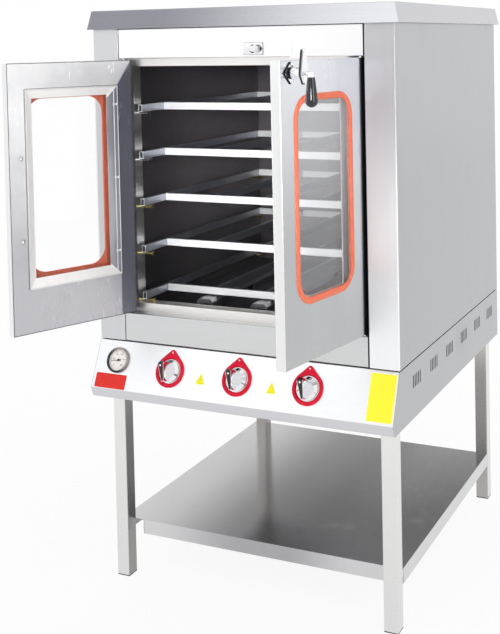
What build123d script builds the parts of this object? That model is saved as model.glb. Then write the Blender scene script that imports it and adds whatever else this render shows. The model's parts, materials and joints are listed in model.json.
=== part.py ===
from build123d import *
import math
import os

# A gas pastry oven on a square-tube stand, with two glazed doors standing open, five tray racks and a
# sloping control panel. Millimetres, +Z up, the front faces -Y. The origin is on the floor, in the
# middle of the cabinet.

# Driving sizes of the cabinet
WIDTH = 900.0
DEPTH = 940.0
BASE_BOTTOM = 535.0
BASE_TOP = 685.0
CABINET_TOP = 1560.0
BAND = 82.0
SHEET = 1.5
BEND = 2.5
SEAM = 3.0

FRONT = -DEPTH / 2
BACK = DEPTH / 2
SIDE = WIDTH / 2
DOORWAY = SIDE - BAND
DOORWAY_BOTTOM = BASE_TOP + BAND
DOORWAY_TOP = CABINET_TOP - BAND
RECESS = 30.0

# Stand
LEG = 40.0
LEG_WALL = 2.0
LEG_SIDE_INSET = 22.0
LEG_FRONT_INSET = 18.0
LEG_BACK_INSET = 24.0
SHELF_TOP = 152.0
SHELF_LIP = 40.0
SHELF_RELIEF = 25.0

# Sloping control panel, measured from the foot of the cabinet front
NOSE_OUT = 54.0
NOSE_DROP = 121.0
CHIN_OUT = 42.0
RETURN = 20.0
GAS_INLET_X = 380.0
GAS_INLET_Z = 600.0

# Hood
HOOD_RISE = 52.0
HOOD_OVERHANG = 12.0
HOOD_BACK_OVERHANG = 20.0
HOOD_TAPER = 10.0
HOOD_HEM = 9.0
FLUE_COLLAR = 55.0
FLUE_TUBE = 54.0
FLUE_RISE = 24.0
FLUE_PLAY = 0.5
FLUE_FROM_BACK = 210.0

# Oven cavity
FRAME_SIDE = 341.0
FRAME_BOTTOM = 791.0
FRAME_TOP = 1456.0
FRAME_RETURN = 36.0
LINER_SIDE = 348.0
LINER_BACK = 792.0
LINER_FLOOR = 768.0
LINER_TOP = 1466.0

# Racks and the bolts that carry them
RACKS = 5
RACK_TOP = 1348.0
RACK_PITCH = 132.0
RACK_HALF = 330.0
RACK_FRONT = 36.0
RACK_BACK = 740.0
RACK_CROSSBAR = 148.0
RACK_RUNNERS = (-160.0, 0.0, 160.0)
BAR_WIDE = 12.0
BAR_TALL = 20.0
BAR_WALL = 1.5
BOLT_RADIUS = 3.0
BOLT_HEAD = 10.0
BOLT_HEAD_LONG = 5.0
BOLT_TIP = 296.0
BOLT_END = 350.0
BOLT_FRONT = 44.0
BOLT_REAR = 700.0
SILVER_LEVELS = (0, 1)
YELLOW_LEVELS = (2, 3, 4)

# Doors, in their own frame: hinge axis at the origin, the closed door runs along +X, the room side is -Y
HINGE_X = 355.0
HINGE_Y = 6.0
DOOR_HEEL = 10.0
DOOR_REACH = 353.5
DOOR_THICK = 26.0
DOOR_BOTTOM = 771.0
DOOR_TOP = 1474.0
DOOR_SKIN = 1.2
LEFT_OPEN = 114.1
RIGHT_OPEN = 80.5
PIN_RADIUS = 3.5
PIN_PLAY = 0.05

WINDOW = (62.0, 295.0)
WINDOW_HEIGHT = (913.0, 1387.0)
WINDOW_CORNER = 42.0
GASKET_LAND = 10.0
GASKET_PROUD = 3.0
BEAD_OUTER = (35.5, 307.0)
BEAD_OUTER_HEIGHT = (886.0, 1406.0)
BEAD_WIDE = (33.0, 18.0)
BEAD_TALL = (28.0, 24.0)
BEAD_PROUD = 5.0
GLASS = 4.0
PANE_INSET = 1.5

# Latch on the right door and its keeper
LATCH_REACH = 314.0
LATCH_HEIGHT = 1446.0
ROSE_HALF = 27.0
ROSE_THICK = 4.0
LEVER_STAND = 34.0
LEVER_THICK = 8.0
GRIP_STAND = 58.0
GRIP_TOP = 1436.0
GRIP_LONG = 72.0
GRIP_BORE = 4.0
GRIP_BORE_DEEP = 34.0
ROSE_POST = 6.0
KEEPER_X = 56.0
KEEPER_Z = 1500.0
KEEPER_WIDE = 57.0
KEEPER_TALL = 31.0
KEEPER_THICK = 2.0
CATCH_X = 63.0
CATCH_HALF = 14.0
CATCH_RISE = 11.0
CATCH_GAP = 12.0
CATCH_OUT = 20.0
HOOK_HALF = 4.0
HOOK_REACH = 60.0

# Controls
KNOB_SPACING = 207.0
KNOB_ALONG = 66.0
BEZEL_RADIUS = 43.5
BEZEL_TIP_ALONG = 15.5
BEZEL_TIP_RADIUS = 7.0
BEZEL_OPENING = 32.0
BEZEL_THICK = 5.0
KNOB_RADIUS = 30.0
KNOB_REST_TURN = 9.0
FIN_LOW = (-31.0, 37.0)
FIN_HIGH = (14.0, 53.0)
STEM_RADIUS = 4.0
DIAL_X = -378.0
DIAL_ALONG = 53.0
DIAL_RADIUS = 35.0
NEEDLE_TURN = 100.0
MANIFOLD_RADIUS = 10.6

# Base louvres on both sides
LOUVRE_GROUPS = 6
LOUVRE_FIRST = 127.0
LOUVRE_LAST = 840.0
LOUVRES = 5
LOUVRE_PITCH = 13.5
LOUVRE_WIDE = 6.0
LOUVRE_TALL = 34.0
LOUVRE_CLIP = 1.8
LOUVRE_Z = 631.0

# Burners
BURNER_SPACING = 172.0
BURNER_HALF = 25.0
BURNER_FRONT = 105.0
BURNER_BACK = 700.0
BURNER_TOP = 796.0
FEED_RADIUS = 6.0
FEED_BORE = 4.5
SLOT_WIDE = 4.0
SLOT_PITCH = 8.0
SIDE_SLOTS = 7
END_SLOTS = 5
GATE_LONG = 34.0

os.makedirs("parts", exist_ok=True)


def save(name, *solids):
    """Write one named piece, as a group when it is several separate solids."""
    shape = solids[0] if len(solids) == 1 else Compound(list(solids))
    export_step(shape, f"parts/{name}.step")


def solids_of(*shapes):
    """All the separate solids in some shapes, as one flat list."""
    return [solid for shape in shapes for solid in shape.solids()]


def block(x, y, z):
    """A box between two X, two Y and two Z values."""
    sizes = [abs(b - a) for a, b in (x, y, z)]
    middle = [(a + b) / 2 for a, b in (x, y, z)]
    return Pos(*middle) * Box(*sizes)


def rod(radius, start, end):
    """A round bar from one point to another."""
    start, end = Vector(*start), Vector(*end)
    along = end - start
    seat = Plane(origin=start, z_dir=along.normalized())
    return extrude(seat * Circle(radius), amount=along.length)


def standing_rod(radius, place, z_from, z_to):
    """An upright round bar at an X and Y, from one height to another."""
    return rod(radius, (*place, z_from), (*place, z_to))


def mirrored(shape):
    """The same shape on the other side of the cabinet's middle plane."""
    return mirror(shape, about=Plane.YZ)


def from_front(y):
    """Y of a place that lies this far behind the cabinet's front face."""
    return FRONT + y


def folded_sheet(path, thickness=SHEET, bend=BEND):
    """Section of a folded sheet: the path is its outer face, the metal lies on the path's left."""
    outer = [Vector(*point) for point in path]
    headings = [(b - a).normalized() for a, b in zip(outer, outer[1:])]
    sides = [Vector(-heading.Y, heading.X) for heading in headings]
    inner = [outer[0] + sides[0] * thickness]
    for corner, before, after in zip(outer[1:-1], sides, sides[1:]):
        inner.append(corner + (before + after) * (thickness / (1 + before.dot(after))))
    inner.append(outer[-1] + sides[-1] * thickness)
    skin = FilletPolyline(*outer, radius=bend)
    lining = FilletPolyline(*inner, radius=bend - thickness)
    first = Line(outer[0], inner[0])
    last = Line(outer[-1], inner[-1])
    return make_face([*skin.edges(), *lining.edges(), first.edge(), last.edge()])


def along_x(section, x_from, x_to):
    """Run a section, drawn with Y across and Z up, from one X to another."""
    seat = Plane(origin=(x_from, 0, 0), x_dir=(0, 1, 0), z_dir=(1, 0, 0))
    return extrude(seat * section, amount=x_to - x_from)


def along_z(section, z_from, z_to):
    """Run a section, drawn in plan, from one height to another."""
    return extrude(Pos(0, 0, z_from) * section, amount=z_to - z_from)


# The panel's own frame: X across, Y up the slope, Z out of its face, the origin at its top edge
PANEL_LONG = math.hypot(NOSE_OUT, NOSE_DROP)
PANEL_NORMAL = (0, -NOSE_DROP / PANEL_LONG, NOSE_OUT / PANEL_LONG)
PANEL = Plane(origin=(0, FRONT, BASE_TOP), x_dir=(1, 0, 0), z_dir=PANEL_NORMAL)


def on_panel(x, down, out=0.0):
    """A frame on the sloping panel: across, down the slope from its top edge, out of its face."""
    return PANEL.location * Pos(x, -down, out)


def make_stand():
    """Four square tube legs with plastic plugs in their feet, and the folded shelf between them."""
    leg_x = SIDE - LEG_SIDE_INSET - LEG / 2
    leg_ys = (FRONT + LEG_FRONT_INSET + LEG / 2, BACK - LEG_BACK_INSET - LEG / 2)
    corner, bore_corner = 3.5, 1.5
    plug_rim, plug_deep, plug_play = 3.0, 22.0, 0.3
    bore = LEG - 2 * LEG_WALL
    rim = RectangleRounded(LEG, LEG, corner)
    section = rim - RectangleRounded(bore, bore, bore_corner)
    stub = RectangleRounded(bore - 2 * plug_play, bore - 2 * plug_play, bore_corner)
    legs, plugs = [], []
    for x in (-leg_x, leg_x):
        for y in leg_ys:
            legs.append(Pos(x, y) * along_z(section, plug_rim, BASE_BOTTOM + SHEET))
            plug = along_z(rim, 0, plug_rim) + along_z(stub, plug_rim, plug_rim + plug_deep)
            plugs.append(Pos(x, y) * plug)
    save("stand_legs", *solids_of(*legs))
    save("leg_plugs", *solids_of(*plugs))

    edge_x = leg_x + LEG / 2
    y_front = leg_ys[0] + LEG / 2
    y_back = leg_ys[1] - LEG / 2
    low, high = SHELF_TOP - SHELF_LIP, SHELF_TOP - SHEET
    corner_gap, hem, top_bend = 4.0, 12.0, 1.2
    side_y = (y_front + corner_gap, y_back - corner_gap)
    shelf = block((-edge_x, edge_x), (y_front, y_back), (high, SHELF_TOP))
    for x in (-edge_x, edge_x - SHEET):
        shelf += block((x, x + SHEET), side_y, (low, high))
    for x in (-edge_x, edge_x - hem):
        shelf += block((x, x + hem), side_y, (low, low + SHEET))
    relief_edge = -edge_x + LEG + SHELF_RELIEF
    for y in (y_front, y_back - SHEET):
        shelf += block((relief_edge, edge_x - corner_gap), (y, y + SHEET), (low, high))
    shelf = fillet(shelf.edges().filter_by(Axis.Y).group_by(Axis.Z)[-1], top_bend)
    save("stand_shelf", *solids_of(shelf))


def louvre_slots(x_from, x_to):
    """Upright slots with clipped corners through the base's sides, in evenly spaced groups."""
    cuts = []
    slot = Rectangle(LOUVRE_WIDE, LOUVRE_TALL)
    outline = chamfer(slot.vertices(), LOUVRE_CLIP)
    step = (LOUVRE_LAST - LOUVRE_FIRST) / (LOUVRE_GROUPS - 1)
    for group in range(LOUVRE_GROUPS):
        middle = from_front(LOUVRE_FIRST + group * step)
        for index in range(LOUVRES):
            y = middle + (index - (LOUVRES - 1) / 2) * LOUVRE_PITCH
            cuts.append(along_x(Pos(y, LOUVRE_Z) * outline, x_from, x_to))
    return cuts


def make_base():
    """The low gas compartment: floor pan, back, two louvred sides and the folded control panel."""
    nose = (FRONT - NOSE_OUT, BASE_TOP - NOSE_DROP)
    chin = (FRONT - CHIN_OUT, BASE_BOTTOM)
    inner = SIDE - SHEET
    outline = Polyline((BACK, BASE_TOP), (FRONT, BASE_TOP), nose, chin, (BACK, BASE_BOTTOM), close=True)
    side = along_x(make_face(outline), inner, SIDE)
    for cut in louvre_slots(inner - 1, SIDE + 1):
        side -= cut
    return_x = (inner - RETURN, inner)
    clear_low, clear_high = RETURN + 2, RETURN + 8
    side += block(return_x, (chin[0] + clear_low, BACK - SHEET), (BASE_BOTTOM, BASE_BOTTOM + SHEET))
    side += block(return_x, (FRONT + clear_high, BACK - SHEET), (BASE_TOP - SHEET, BASE_TOP))
    save("base_side_right", *solids_of(side))
    save("base_side_left", *solids_of(mirrored(side)))

    path = [
        (FRONT + RETURN + 6, BASE_TOP),
        (FRONT, BASE_TOP),
        nose,
        chin,
        (chin[0] + RETURN, BASE_BOTTOM),
    ]
    tap_hole, cut_deep, dial_lap = 11.0, 20.0, 3.5
    panel = along_x(folded_sheet(path), -inner, inner)
    for x in knob_places():
        panel -= on_panel(x, KNOB_ALONG) * Cylinder(tap_hole, cut_deep)
    panel -= on_panel(DIAL_X, DIAL_ALONG) * Cylinder(DIAL_RADIUS - dial_lap, cut_deep)
    save("control_panel", *solids_of(panel))

    pan_z = BASE_BOTTOM + SHEET
    pan_front = chin[0] + 5
    pan = block((-inner, inner), (pan_front, BACK - SHEET), (pan_z, pan_z + SHEET))
    pan += block((-inner, inner), (BACK - SHEET, BACK), (BASE_BOTTOM, BASE_TOP))
    hole_from, hole_to = (GAS_INLET_X, BACK - 10, GAS_INLET_Z), (GAS_INLET_X, BACK + 10, GAS_INLET_Z)
    pan -= rod(MANIFOLD_RADIUS + 1, hole_from, hole_to)
    save("base_pan", *solids_of(pan))


def knob_places():
    """X of the three knobs, taps and bezels."""
    return (-KNOB_SPACING, 0.0, KNOB_SPACING)


def make_gas_train():
    """A manifold pipe running across behind the panel and out of the back, with three taps on it."""
    tap_deep, tap_radius, tap_sunk = 46.0, 13.0, 4.0
    bonnet_radius, bonnet_deep, stem_long = 9.0, 12.0, 18.0
    pipe_behind = tap_deep + 24
    row_y = on_panel(0, KNOB_ALONG, -pipe_behind).position.Y
    tip_y = BACK + HOOD_BACK_OVERHANG
    far_end, cap_end = -KNOB_SPACING - 45, -KNOB_SPACING - 60
    pipe_bend, pipe_wall, cap_lap = 38.0, 2.6, 2.0
    route = FilletPolyline(
        (far_end, row_y, GAS_INLET_Z),
        (GAS_INLET_X, row_y, GAS_INLET_Z),
        (GAS_INLET_X, tip_y, GAS_INLET_Z),
        radius=pipe_bend,
    )
    start = Plane(origin=route @ 0, z_dir=route % 0)
    pipe = sweep(start * Circle(MANIFOLD_RADIUS), path=route)
    bore_from, bore_to = (GAS_INLET_X, BACK - 30, GAS_INLET_Z), (GAS_INLET_X, tip_y + 5, GAS_INLET_Z)
    bore = rod(MANIFOLD_RADIUS - pipe_wall, bore_from, bore_to)
    collar_proud, collar_thick = 4.5, 7.0
    collar_seat = Plane(origin=(GAS_INLET_X, BACK + 1, GAS_INLET_Z), z_dir=(0, 1, 0))
    collar = extrude(collar_seat * RegularPolygon(MANIFOLD_RADIUS + collar_proud, 6), amount=collar_thick)
    cap = rod(MANIFOLD_RADIUS + cap_lap, (cap_end, row_y, GAS_INLET_Z), (far_end, row_y, GAS_INLET_Z))
    save("gas_manifold", *solids_of(pipe + collar + cap - bore))

    taps = []
    saddle_half, saddle_play = 40.0, 0.2
    for x in knob_places():
        seat = on_panel(x, KNOB_ALONG)
        tap = seat * (Pos(0, 0, -tap_sunk - tap_deep / 2) * Cylinder(tap_radius, tap_deep))
        tap += seat * (Pos(0, 0, -2 * tap_sunk) * Cylinder(bonnet_radius, bonnet_deep))
        tap += seat * (Pos(0, 0, tap_sunk + 1) * Cylinder(STEM_RADIUS, stem_long))
        saddle_from = (x - saddle_half, row_y, GAS_INLET_Z)
        saddle_to = (x + saddle_half, row_y, GAS_INLET_Z)
        tap -= rod(MANIFOLD_RADIUS + saddle_play, saddle_from, saddle_to)
        taps.append(max(tap.solids(), key=lambda solid: solid.volume))
    save("gas_taps", *taps)


def make_knobs():
    """Red drop-shaped bezels and the chrome knobs that turn inside them, each with a raised fin."""
    bezels = []
    tip_up = KNOB_ALONG - BEZEL_TIP_ALONG
    rim_chamfer, well_flare = 2.0, 2.5
    tip_hole, tip_hole_drop = 2.8, 1.5
    for x in knob_places():
        ring = Circle(BEZEL_RADIUS)
        tip = Pos(0, tip_up) * Circle(BEZEL_TIP_RADIUS)
        drop = make_hull([*ring.edges(), *tip.edges()])
        plate = extrude(drop, amount=BEZEL_THICK)
        rim = plate.faces().sort_by(Axis.Z)[-1].outer_wire().edges()
        plate = chamfer(rim, rim_chamfer)
        well = Cone(BEZEL_OPENING, BEZEL_OPENING + well_flare, BEZEL_THICK + 0.02)
        plate -= Pos(0, 0, BEZEL_THICK / 2) * well
        plate -= Pos(0, tip_up - tip_hole_drop, 0) * Cylinder(tip_hole, 4 * BEZEL_THICK)
        bezels.append(on_panel(x, KNOB_ALONG) * plate)
    save("knob_bezels", *solids_of(*bezels))

    for name, x in zip(("left", "middle", "right"), knob_places()):
        seat = on_panel(x, KNOB_ALONG) * Rot(0, 0, KNOB_REST_TURN)
        save(f"knob_{name}", *solids_of(seat * knob_body()))
        save(f"knob_insert_{name}", *solids_of(seat * knob_insert()))


def knob_profile():
    """Side view of the fin: along the knob's pointer line and out of the panel, thick end outward."""
    return [(-27.0, 8.0), FIN_LOW, FIN_HIGH, (24.0, 46.0), (27.0, 8.0)]


def fin_plan():
    """Plan of the fin: broad at its pointer end, narrow at its tail."""
    head = Pos(0, 14) * Circle(8.5)
    tail = Pos(0, -28) * Circle(4.0)
    return make_hull([*head.edges(), *tail.edges()])


def fin_side(points):
    """A prism across the fin from a side view given as along and out pairs."""
    half = 14.0
    seat = Plane(origin=(-half, 0, 0), x_dir=(0, 1, 0), z_dir=(1, 0, 0))
    return extrude(seat * make_face(Polyline(*points, close=True)), amount=2 * half)


def knob_body():
    """A chrome skirt with a sloping shoulder, the fin rising from it, bored for the tap's stem."""
    foot, edge, top = 1.0, 6.0, 12.0
    shoulder = 0.72 * KNOB_RADIUS
    outline = Polyline(
        (0, foot), (KNOB_RADIUS, foot), (KNOB_RADIUS, edge), (shoulder, top), (0, top), close=True,
    )
    skirt = revolve(Plane.XZ * make_face(outline), axis=Axis.Z)
    fin = extrude(fin_plan(), amount=2 * KNOB_RADIUS) & fin_side(knob_profile())
    knob = skirt + fin
    bore_deep = 15.0
    knob -= Pos(0, 0, bore_deep / 2) * Cylinder(STEM_RADIUS + PIN_PLAY, bore_deep)
    return knob


def knob_insert():
    """The black strip let on to the fin's sloping outer face."""
    lift, low_gap, high_gap = 1.6, 3.0, 1.0
    low, high = Vector(*FIN_LOW), Vector(*FIN_HIGH)
    run = (high - low).normalized()
    out = Vector(-run.Y, run.X) * lift
    start, end = low + run * low_gap, high - run * high_gap
    strip = [(point.X, point.Y) for point in (start, end, end + out, start + out)]
    head = Pos(0, 11) * Circle(6.6)
    tail = Pos(0, -27) * Circle(2.6)
    plan = make_hull([*head.edges(), *tail.edges()])
    return extrude(plan, amount=2 * KNOB_RADIUS) & fin_side(strip)


def make_thermometer():
    """A dial thermometer: cup with rolled bezel, cream dial, needle on a post and a glass."""
    seat = on_panel(DIAL_X, DIAL_ALONG)
    cup = DIAL_RADIUS - 4
    wall, cup_deep, rim_low, rim_high = 1.5, 26.0, 4.5, 6.0
    profile = Polyline(
        (0, -cup_deep),
        (cup, -cup_deep),
        (cup, 0),
        (DIAL_RADIUS, 0),
        (DIAL_RADIUS, rim_low),
        (DIAL_RADIUS - wall, rim_high),
        (cup - wall, rim_high),
        (cup - wall, wall - cup_deep),
        (0, wall - cup_deep),
        close=True,
    )
    case = revolve(Plane.XZ * make_face(profile), axis=Axis.Z)
    save("thermometer_case", *solids_of(seat * case))

    inside = cup - wall - 0.1
    dial_thick, shaft_hole, shaft_radius, shaft_long = 1.0, 1.6, 1.5, 9.0
    dial = Pos(0, 0, dial_thick / 2) * Cylinder(inside, dial_thick)
    dial -= Cylinder(shaft_hole, shaft_long)
    save("thermometer_dial", *solids_of(seat * dial))

    hub_radius, blade_thick, blade_low = 3.2, 0.8, 1.5
    tail, tip, root, point = -7.0, 23.0, 1.3, 0.35
    blade = make_face(Polyline((-root, tail), (root, tail), (point, tip), (-point, tip), close=True))
    needle = Pos(0, 0, blade_low + blade_thick / 2) * Cylinder(hub_radius, blade_thick)
    needle += extrude(Pos(0, 0, blade_low) * blade, amount=blade_thick)
    needle += Pos(0, 0, blade_low - shaft_long / 2) * Cylinder(shaft_radius, shaft_long)
    save("thermometer_needle", *solids_of(seat * Rot(0, 0, NEEDLE_TURN) * needle))

    glass_thick = 1.6
    glass = Pos(0, 0, rim_high - 0.6 - glass_thick / 2) * Cylinder(inside, glass_thick)
    save("thermometer_glass", *solids_of(seat * glass))


def make_cabinet():
    """The cabinet's outer sheets: sides folded round into front posts and jambs, bands, back and top."""
    bottom = BASE_TOP + SEAM
    path = [(SIDE, BACK - SHEET), (SIDE, FRONT), (DOORWAY, FRONT), (DOORWAY, FRONT + RECESS)]
    section = folded_sheet([(-x, y) for x, y in path])
    left = along_z(section, bottom, CABINET_TOP)
    save("side_panel_left", *solids_of(left))
    save("side_panel_right", *solids_of(mirrored(left)))

    edge = DOORWAY - SEAM
    top_path = [
        (FRONT + RECESS, CABINET_TOP),
        (FRONT, CABINET_TOP),
        (FRONT, DOORWAY_TOP),
        (FRONT + RECESS, DOORWAY_TOP),
    ]
    fascia = along_x(folded_sheet(top_path), -edge, edge)
    sill_path = [
        (FRONT + RECESS, DOORWAY_BOTTOM),
        (FRONT, DOORWAY_BOTTOM),
        (FRONT, bottom),
        (FRONT + RECESS, bottom),
    ]
    lower = along_x(folded_sheet(sill_path), -edge, edge)
    pins = []
    clear = PIN_RADIUS + 0.1
    for x in (-HINGE_X, HINGE_X):
        y = FRONT + HINGE_Y
        fascia -= rod(clear, (x, y, DOORWAY_TOP - 5), (x, y, DOORWAY_TOP + 10))
        lower -= rod(clear, (x, y, DOORWAY_BOTTOM - 10), (x, y, DOORWAY_BOTTOM + 5))
        pins.append(rod(PIN_RADIUS, (x, y, DOOR_TOP - 10), (x, y, DOORWAY_TOP + 16)))
        pins.append(rod(PIN_RADIUS, (x, y, DOORWAY_BOTTOM - 16), (x, y, DOOR_BOTTOM + 10)))
    save("fascia", *solids_of(fascia))
    save("lower_front_panel", *solids_of(lower))
    save("hinge_pins", *solids_of(*pins))

    rear = block((-SIDE, SIDE), (BACK - SHEET, BACK), (bottom, CABINET_TOP))
    save("back_panel", *solids_of(rear))


def make_hood():
    """The flared lid: a tapered tray turned upside down, hemmed below and holed for the flue."""
    foot_x = 2 * (SIDE + HOOD_OVERHANG)
    foot_y = DEPTH + HOOD_OVERHANG + HOOD_BACK_OVERHANG
    middle_y = (HOOD_BACK_OVERHANG - HOOD_OVERHANG) / 2
    seat = Pos(0, middle_y, CABINET_TOP)

    def tapered(inset, rise):
        """A solid hood this far inside the real one's faces and this tall."""
        narrow = 2 * (inset + HOOD_TAPER * rise / HOOD_RISE)
        foot = seat * Rectangle(foot_x - 2 * inset, foot_y - 2 * inset)
        head = Pos(0, 0, rise) * seat * Rectangle(foot_x - narrow, foot_y - narrow)
        return loft([foot, head], ruled=True)

    top_bend, rim_inset = 2.0, 1.0
    outer = tapered(0, HOOD_RISE)
    outer = fillet(outer.edges().group_by(Axis.Z)[-1], top_bend)
    hood = outer - tapered(SHEET, HOOD_RISE - SHEET)
    rim = extrude(seat * Rectangle(foot_x - 2 * rim_inset, foot_y - 2 * rim_inset), amount=SHEET)
    rim -= extrude(seat * Rectangle(foot_x - 2 * HOOD_HEM, foot_y - 2 * HOOD_HEM), amount=SHEET)
    hood += rim
    hood_top = CABINET_TOP + HOOD_RISE
    hole = FLUE_TUBE + FLUE_PLAY
    hood -= standing_rod(hole, flue_place(), hood_top - HOOD_RISE / 2, hood_top + 5)
    save("hood", *solids_of(hood))

    foot, top = LINER_TOP + SHEET, hood_top + FLUE_RISE
    flue = standing_rod(FLUE_TUBE, flue_place(), foot, top)
    flue += standing_rod(FLUE_COLLAR, flue_place(), hood_top, top)
    flue -= standing_rod(FLUE_TUBE - SHEET, flue_place(), foot - 1, top + 1)
    save("flue", *solids_of(flue))

    lid_z = (CABINET_TOP - SHEET - 1, CABINET_TOP - 1)
    lid_inset = 3.0
    lid = block((-SIDE + lid_inset, SIDE - lid_inset), (FRONT + RECESS + 1, BACK - lid_inset), lid_z)
    lid -= standing_rod(hole, flue_place(), lid_z[0] - 5, lid_z[1] + 5)
    save("cabinet_top", *solids_of(lid))


def flue_place():
    """X and Y of the flue's middle line."""
    return (0.0, BACK - FLUE_FROM_BACK)


def make_oven():
    """The oven's lining of flat sheets, the frame round its mouth and the insulation behind it."""
    y_front = from_front(RECESS + FRAME_RETURN)
    y_back = from_front(LINER_BACK)
    side = block((LINER_SIDE, LINER_SIDE + SHEET), (y_front, y_back), (LINER_FLOOR, LINER_TOP))
    for level in range(RACKS):
        side -= bolt_hole(LINER_SIDE, from_front(BOLT_REAR), level)
    save("oven_side_right", *solids_of(side))
    save("oven_side_left", *solids_of(mirrored(side)))
    wide = LINER_SIDE + SHEET
    rear = block((-wide, wide), (y_back, y_back + SHEET), (LINER_FLOOR, LINER_TOP))
    save("oven_back", *solids_of(rear))
    roof = block((-wide, wide), (y_front, y_back + SHEET), (LINER_TOP, LINER_TOP + SHEET))
    roof -= standing_rod(FLUE_TUBE - SHEET, flue_place(), LINER_TOP - 5, LINER_TOP + 5)
    save("oven_roof", *solids_of(roof))
    floor = block((-wide, wide), (y_front, y_back + SHEET), (LINER_FLOOR - SHEET, LINER_FLOOR))
    for x in burner_places():
        floor -= standing_rod(FEED_RADIUS + 1, (x, feed_y()), LINER_FLOOR - 5, LINER_FLOOR + 5)
    save("oven_floor", *solids_of(floor))

    lap = 8.0
    flange_y = (from_front(RECESS), from_front(RECESS) + SHEET)
    depth_y = (flange_y[0], y_front)
    outer_x = DOORWAY + lap
    outer_low = DOORWAY_BOTTOM - lap
    outer_high = DOORWAY_TOP + lap
    upright = block((FRAME_SIDE, outer_x), flange_y, (outer_low, outer_high))
    upright += block((FRAME_SIDE, FRAME_SIDE + SHEET), depth_y, (FRAME_BOTTOM, FRAME_TOP))
    for level in range(RACKS):
        upright -= bolt_hole(FRAME_SIDE, from_front(BOLT_FRONT), level)
    head = block((-FRAME_SIDE, FRAME_SIDE), flange_y, (FRAME_TOP, outer_high))
    head += block((-FRAME_SIDE, FRAME_SIDE), depth_y, (FRAME_TOP, FRAME_TOP + SHEET))
    sill = block((-FRAME_SIDE, FRAME_SIDE), flange_y, (outer_low, FRAME_BOTTOM))
    sill += block((-FRAME_SIDE, FRAME_SIDE), depth_y, (FRAME_BOTTOM - SHEET, FRAME_BOTTOM))
    save("mouth_frame", *solids_of(upright, mirrored(upright), head, sill))

    clear = 2.0
    slab_under = 60.0
    wall_x = (LINER_SIDE + SHEET + 1.5 * clear, SIDE - SHEET - clear)
    slab_y = (y_front + 2 * clear, BACK - SHEET - clear)
    low, high = LINER_FLOOR - slab_under, CABINET_TOP - SHEET - 1.5 * clear
    wall = block(wall_x, slab_y, (low, high))
    between = (1 - wall_x[0], wall_x[0] - 1)
    rear_slab = block(between, (y_back + SHEET + clear, slab_y[1]), (low, high))
    above = block(between, (slab_y[0], y_back), (LINER_TOP + SHEET + clear, high))
    above -= standing_rod(FLUE_TUBE + 3, flue_place(), LINER_TOP - 5, high + 5)
    below = block(between, (slab_y[0], y_back), (low, LINER_FLOOR - SHEET - clear))
    for x in burner_places():
        below -= standing_rod(FEED_RADIUS + 3, (x, feed_y()), low - 5, LINER_FLOOR + 5)
    save("insulation", *solids_of(wall, mirrored(wall), rear_slab, above, below))


def bolt_height(level):
    """Height of the bolts' middle line at one rack level, their shanks touching the tubes above."""
    return RACK_TOP - BAR_TALL - BOLT_RADIUS - level * RACK_PITCH


def bolt_hole(x, y, level):
    """The clearance hole for one rack bolt through a sheet at this X."""
    z = bolt_height(level)
    return rod(BOLT_RADIUS + 0.1, (x - 5, y, z), (x + 5, y, z))


def make_rack_bolts():
    """Bolts that stick into the oven under every rack, near its front and its back."""
    for name, levels in (("rack_bolts_upper", SILVER_LEVELS), ("rack_bolts_lower", YELLOW_LEVELS)):
        bolts = []
        for level in levels:
            for y in (from_front(BOLT_FRONT), from_front(BOLT_REAR)):
                z = bolt_height(level)
                seat = Plane(origin=(BOLT_TIP, y, z), x_dir=(0, 1, 0), z_dir=(1, 0, 0))
                hexagon = RegularPolygon(BOLT_HEAD / 2, 6, major_radius=False)
                head = extrude(seat * hexagon, amount=BOLT_HEAD_LONG)
                shank = rod(BOLT_RADIUS, (BOLT_TIP, y, z), (BOLT_END, y, z))
                bolt = head + shank
                bolts += [bolt, mirrored(bolt)]
        save(name, *solids_of(*bolts))


def tube_bar(x, y, z, axis):
    """A square-cornered steel tube between given limits, its bore running along one axis."""
    solid = block(x, y, z)
    w = BAR_WALL
    if axis == "x":
        return solid - block((x[0] - 1, x[1] + 1), (y[0] + w, y[1] - w), (z[0] + w, z[1] - w))
    return solid - block((x[0] + w, x[1] - w), (y[0] - 1, y[1] + 1), (z[0] + w, z[1] - w))


def make_racks():
    """Five welded tube racks: two long side tubes, two crossbars and three runners between them."""
    side_inner = RACK_HALF - BAR_WIDE
    for level in range(RACKS):
        top = RACK_TOP - level * RACK_PITCH
        z = (top - BAR_TALL, top)
        y = (from_front(RACK_FRONT), from_front(RACK_BACK))
        front_bar = (from_front(RACK_CROSSBAR), from_front(RACK_CROSSBAR) + BAR_WIDE)
        back_bar = (y[1] - BAR_WIDE, y[1])
        bars = [
            tube_bar((side_inner, RACK_HALF), y, z, "y"),
            tube_bar((-RACK_HALF, -side_inner), y, z, "y"),
            tube_bar((-side_inner, side_inner), front_bar, z, "x"),
            tube_bar((-side_inner, side_inner), back_bar, z, "x"),
        ]
        for x in RACK_RUNNERS:
            limits = (x - BAR_WIDE / 2, x + BAR_WIDE / 2)
            bars.append(tube_bar(limits, (front_bar[1], back_bar[0]), z, "y"))
        save(f"rack_{level + 1}", *solids_of(*bars))


def burner_places():
    """X of the three burners."""
    return (-BURNER_SPACING, 0.0, BURNER_SPACING)


def feed_y():
    """Y where the gas feed comes up under each burner."""
    return from_front(BURNER_FRONT + 40)


def make_burners():
    """Three burners, each a slotted tube under its flame spreader."""
    save("burner_tubes", *solids_of(*[burner_tube(x) for x in burner_places()]))
    save("flame_spreaders", *solids_of(*[flame_spreader(x) for x in burner_places()]))


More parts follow.
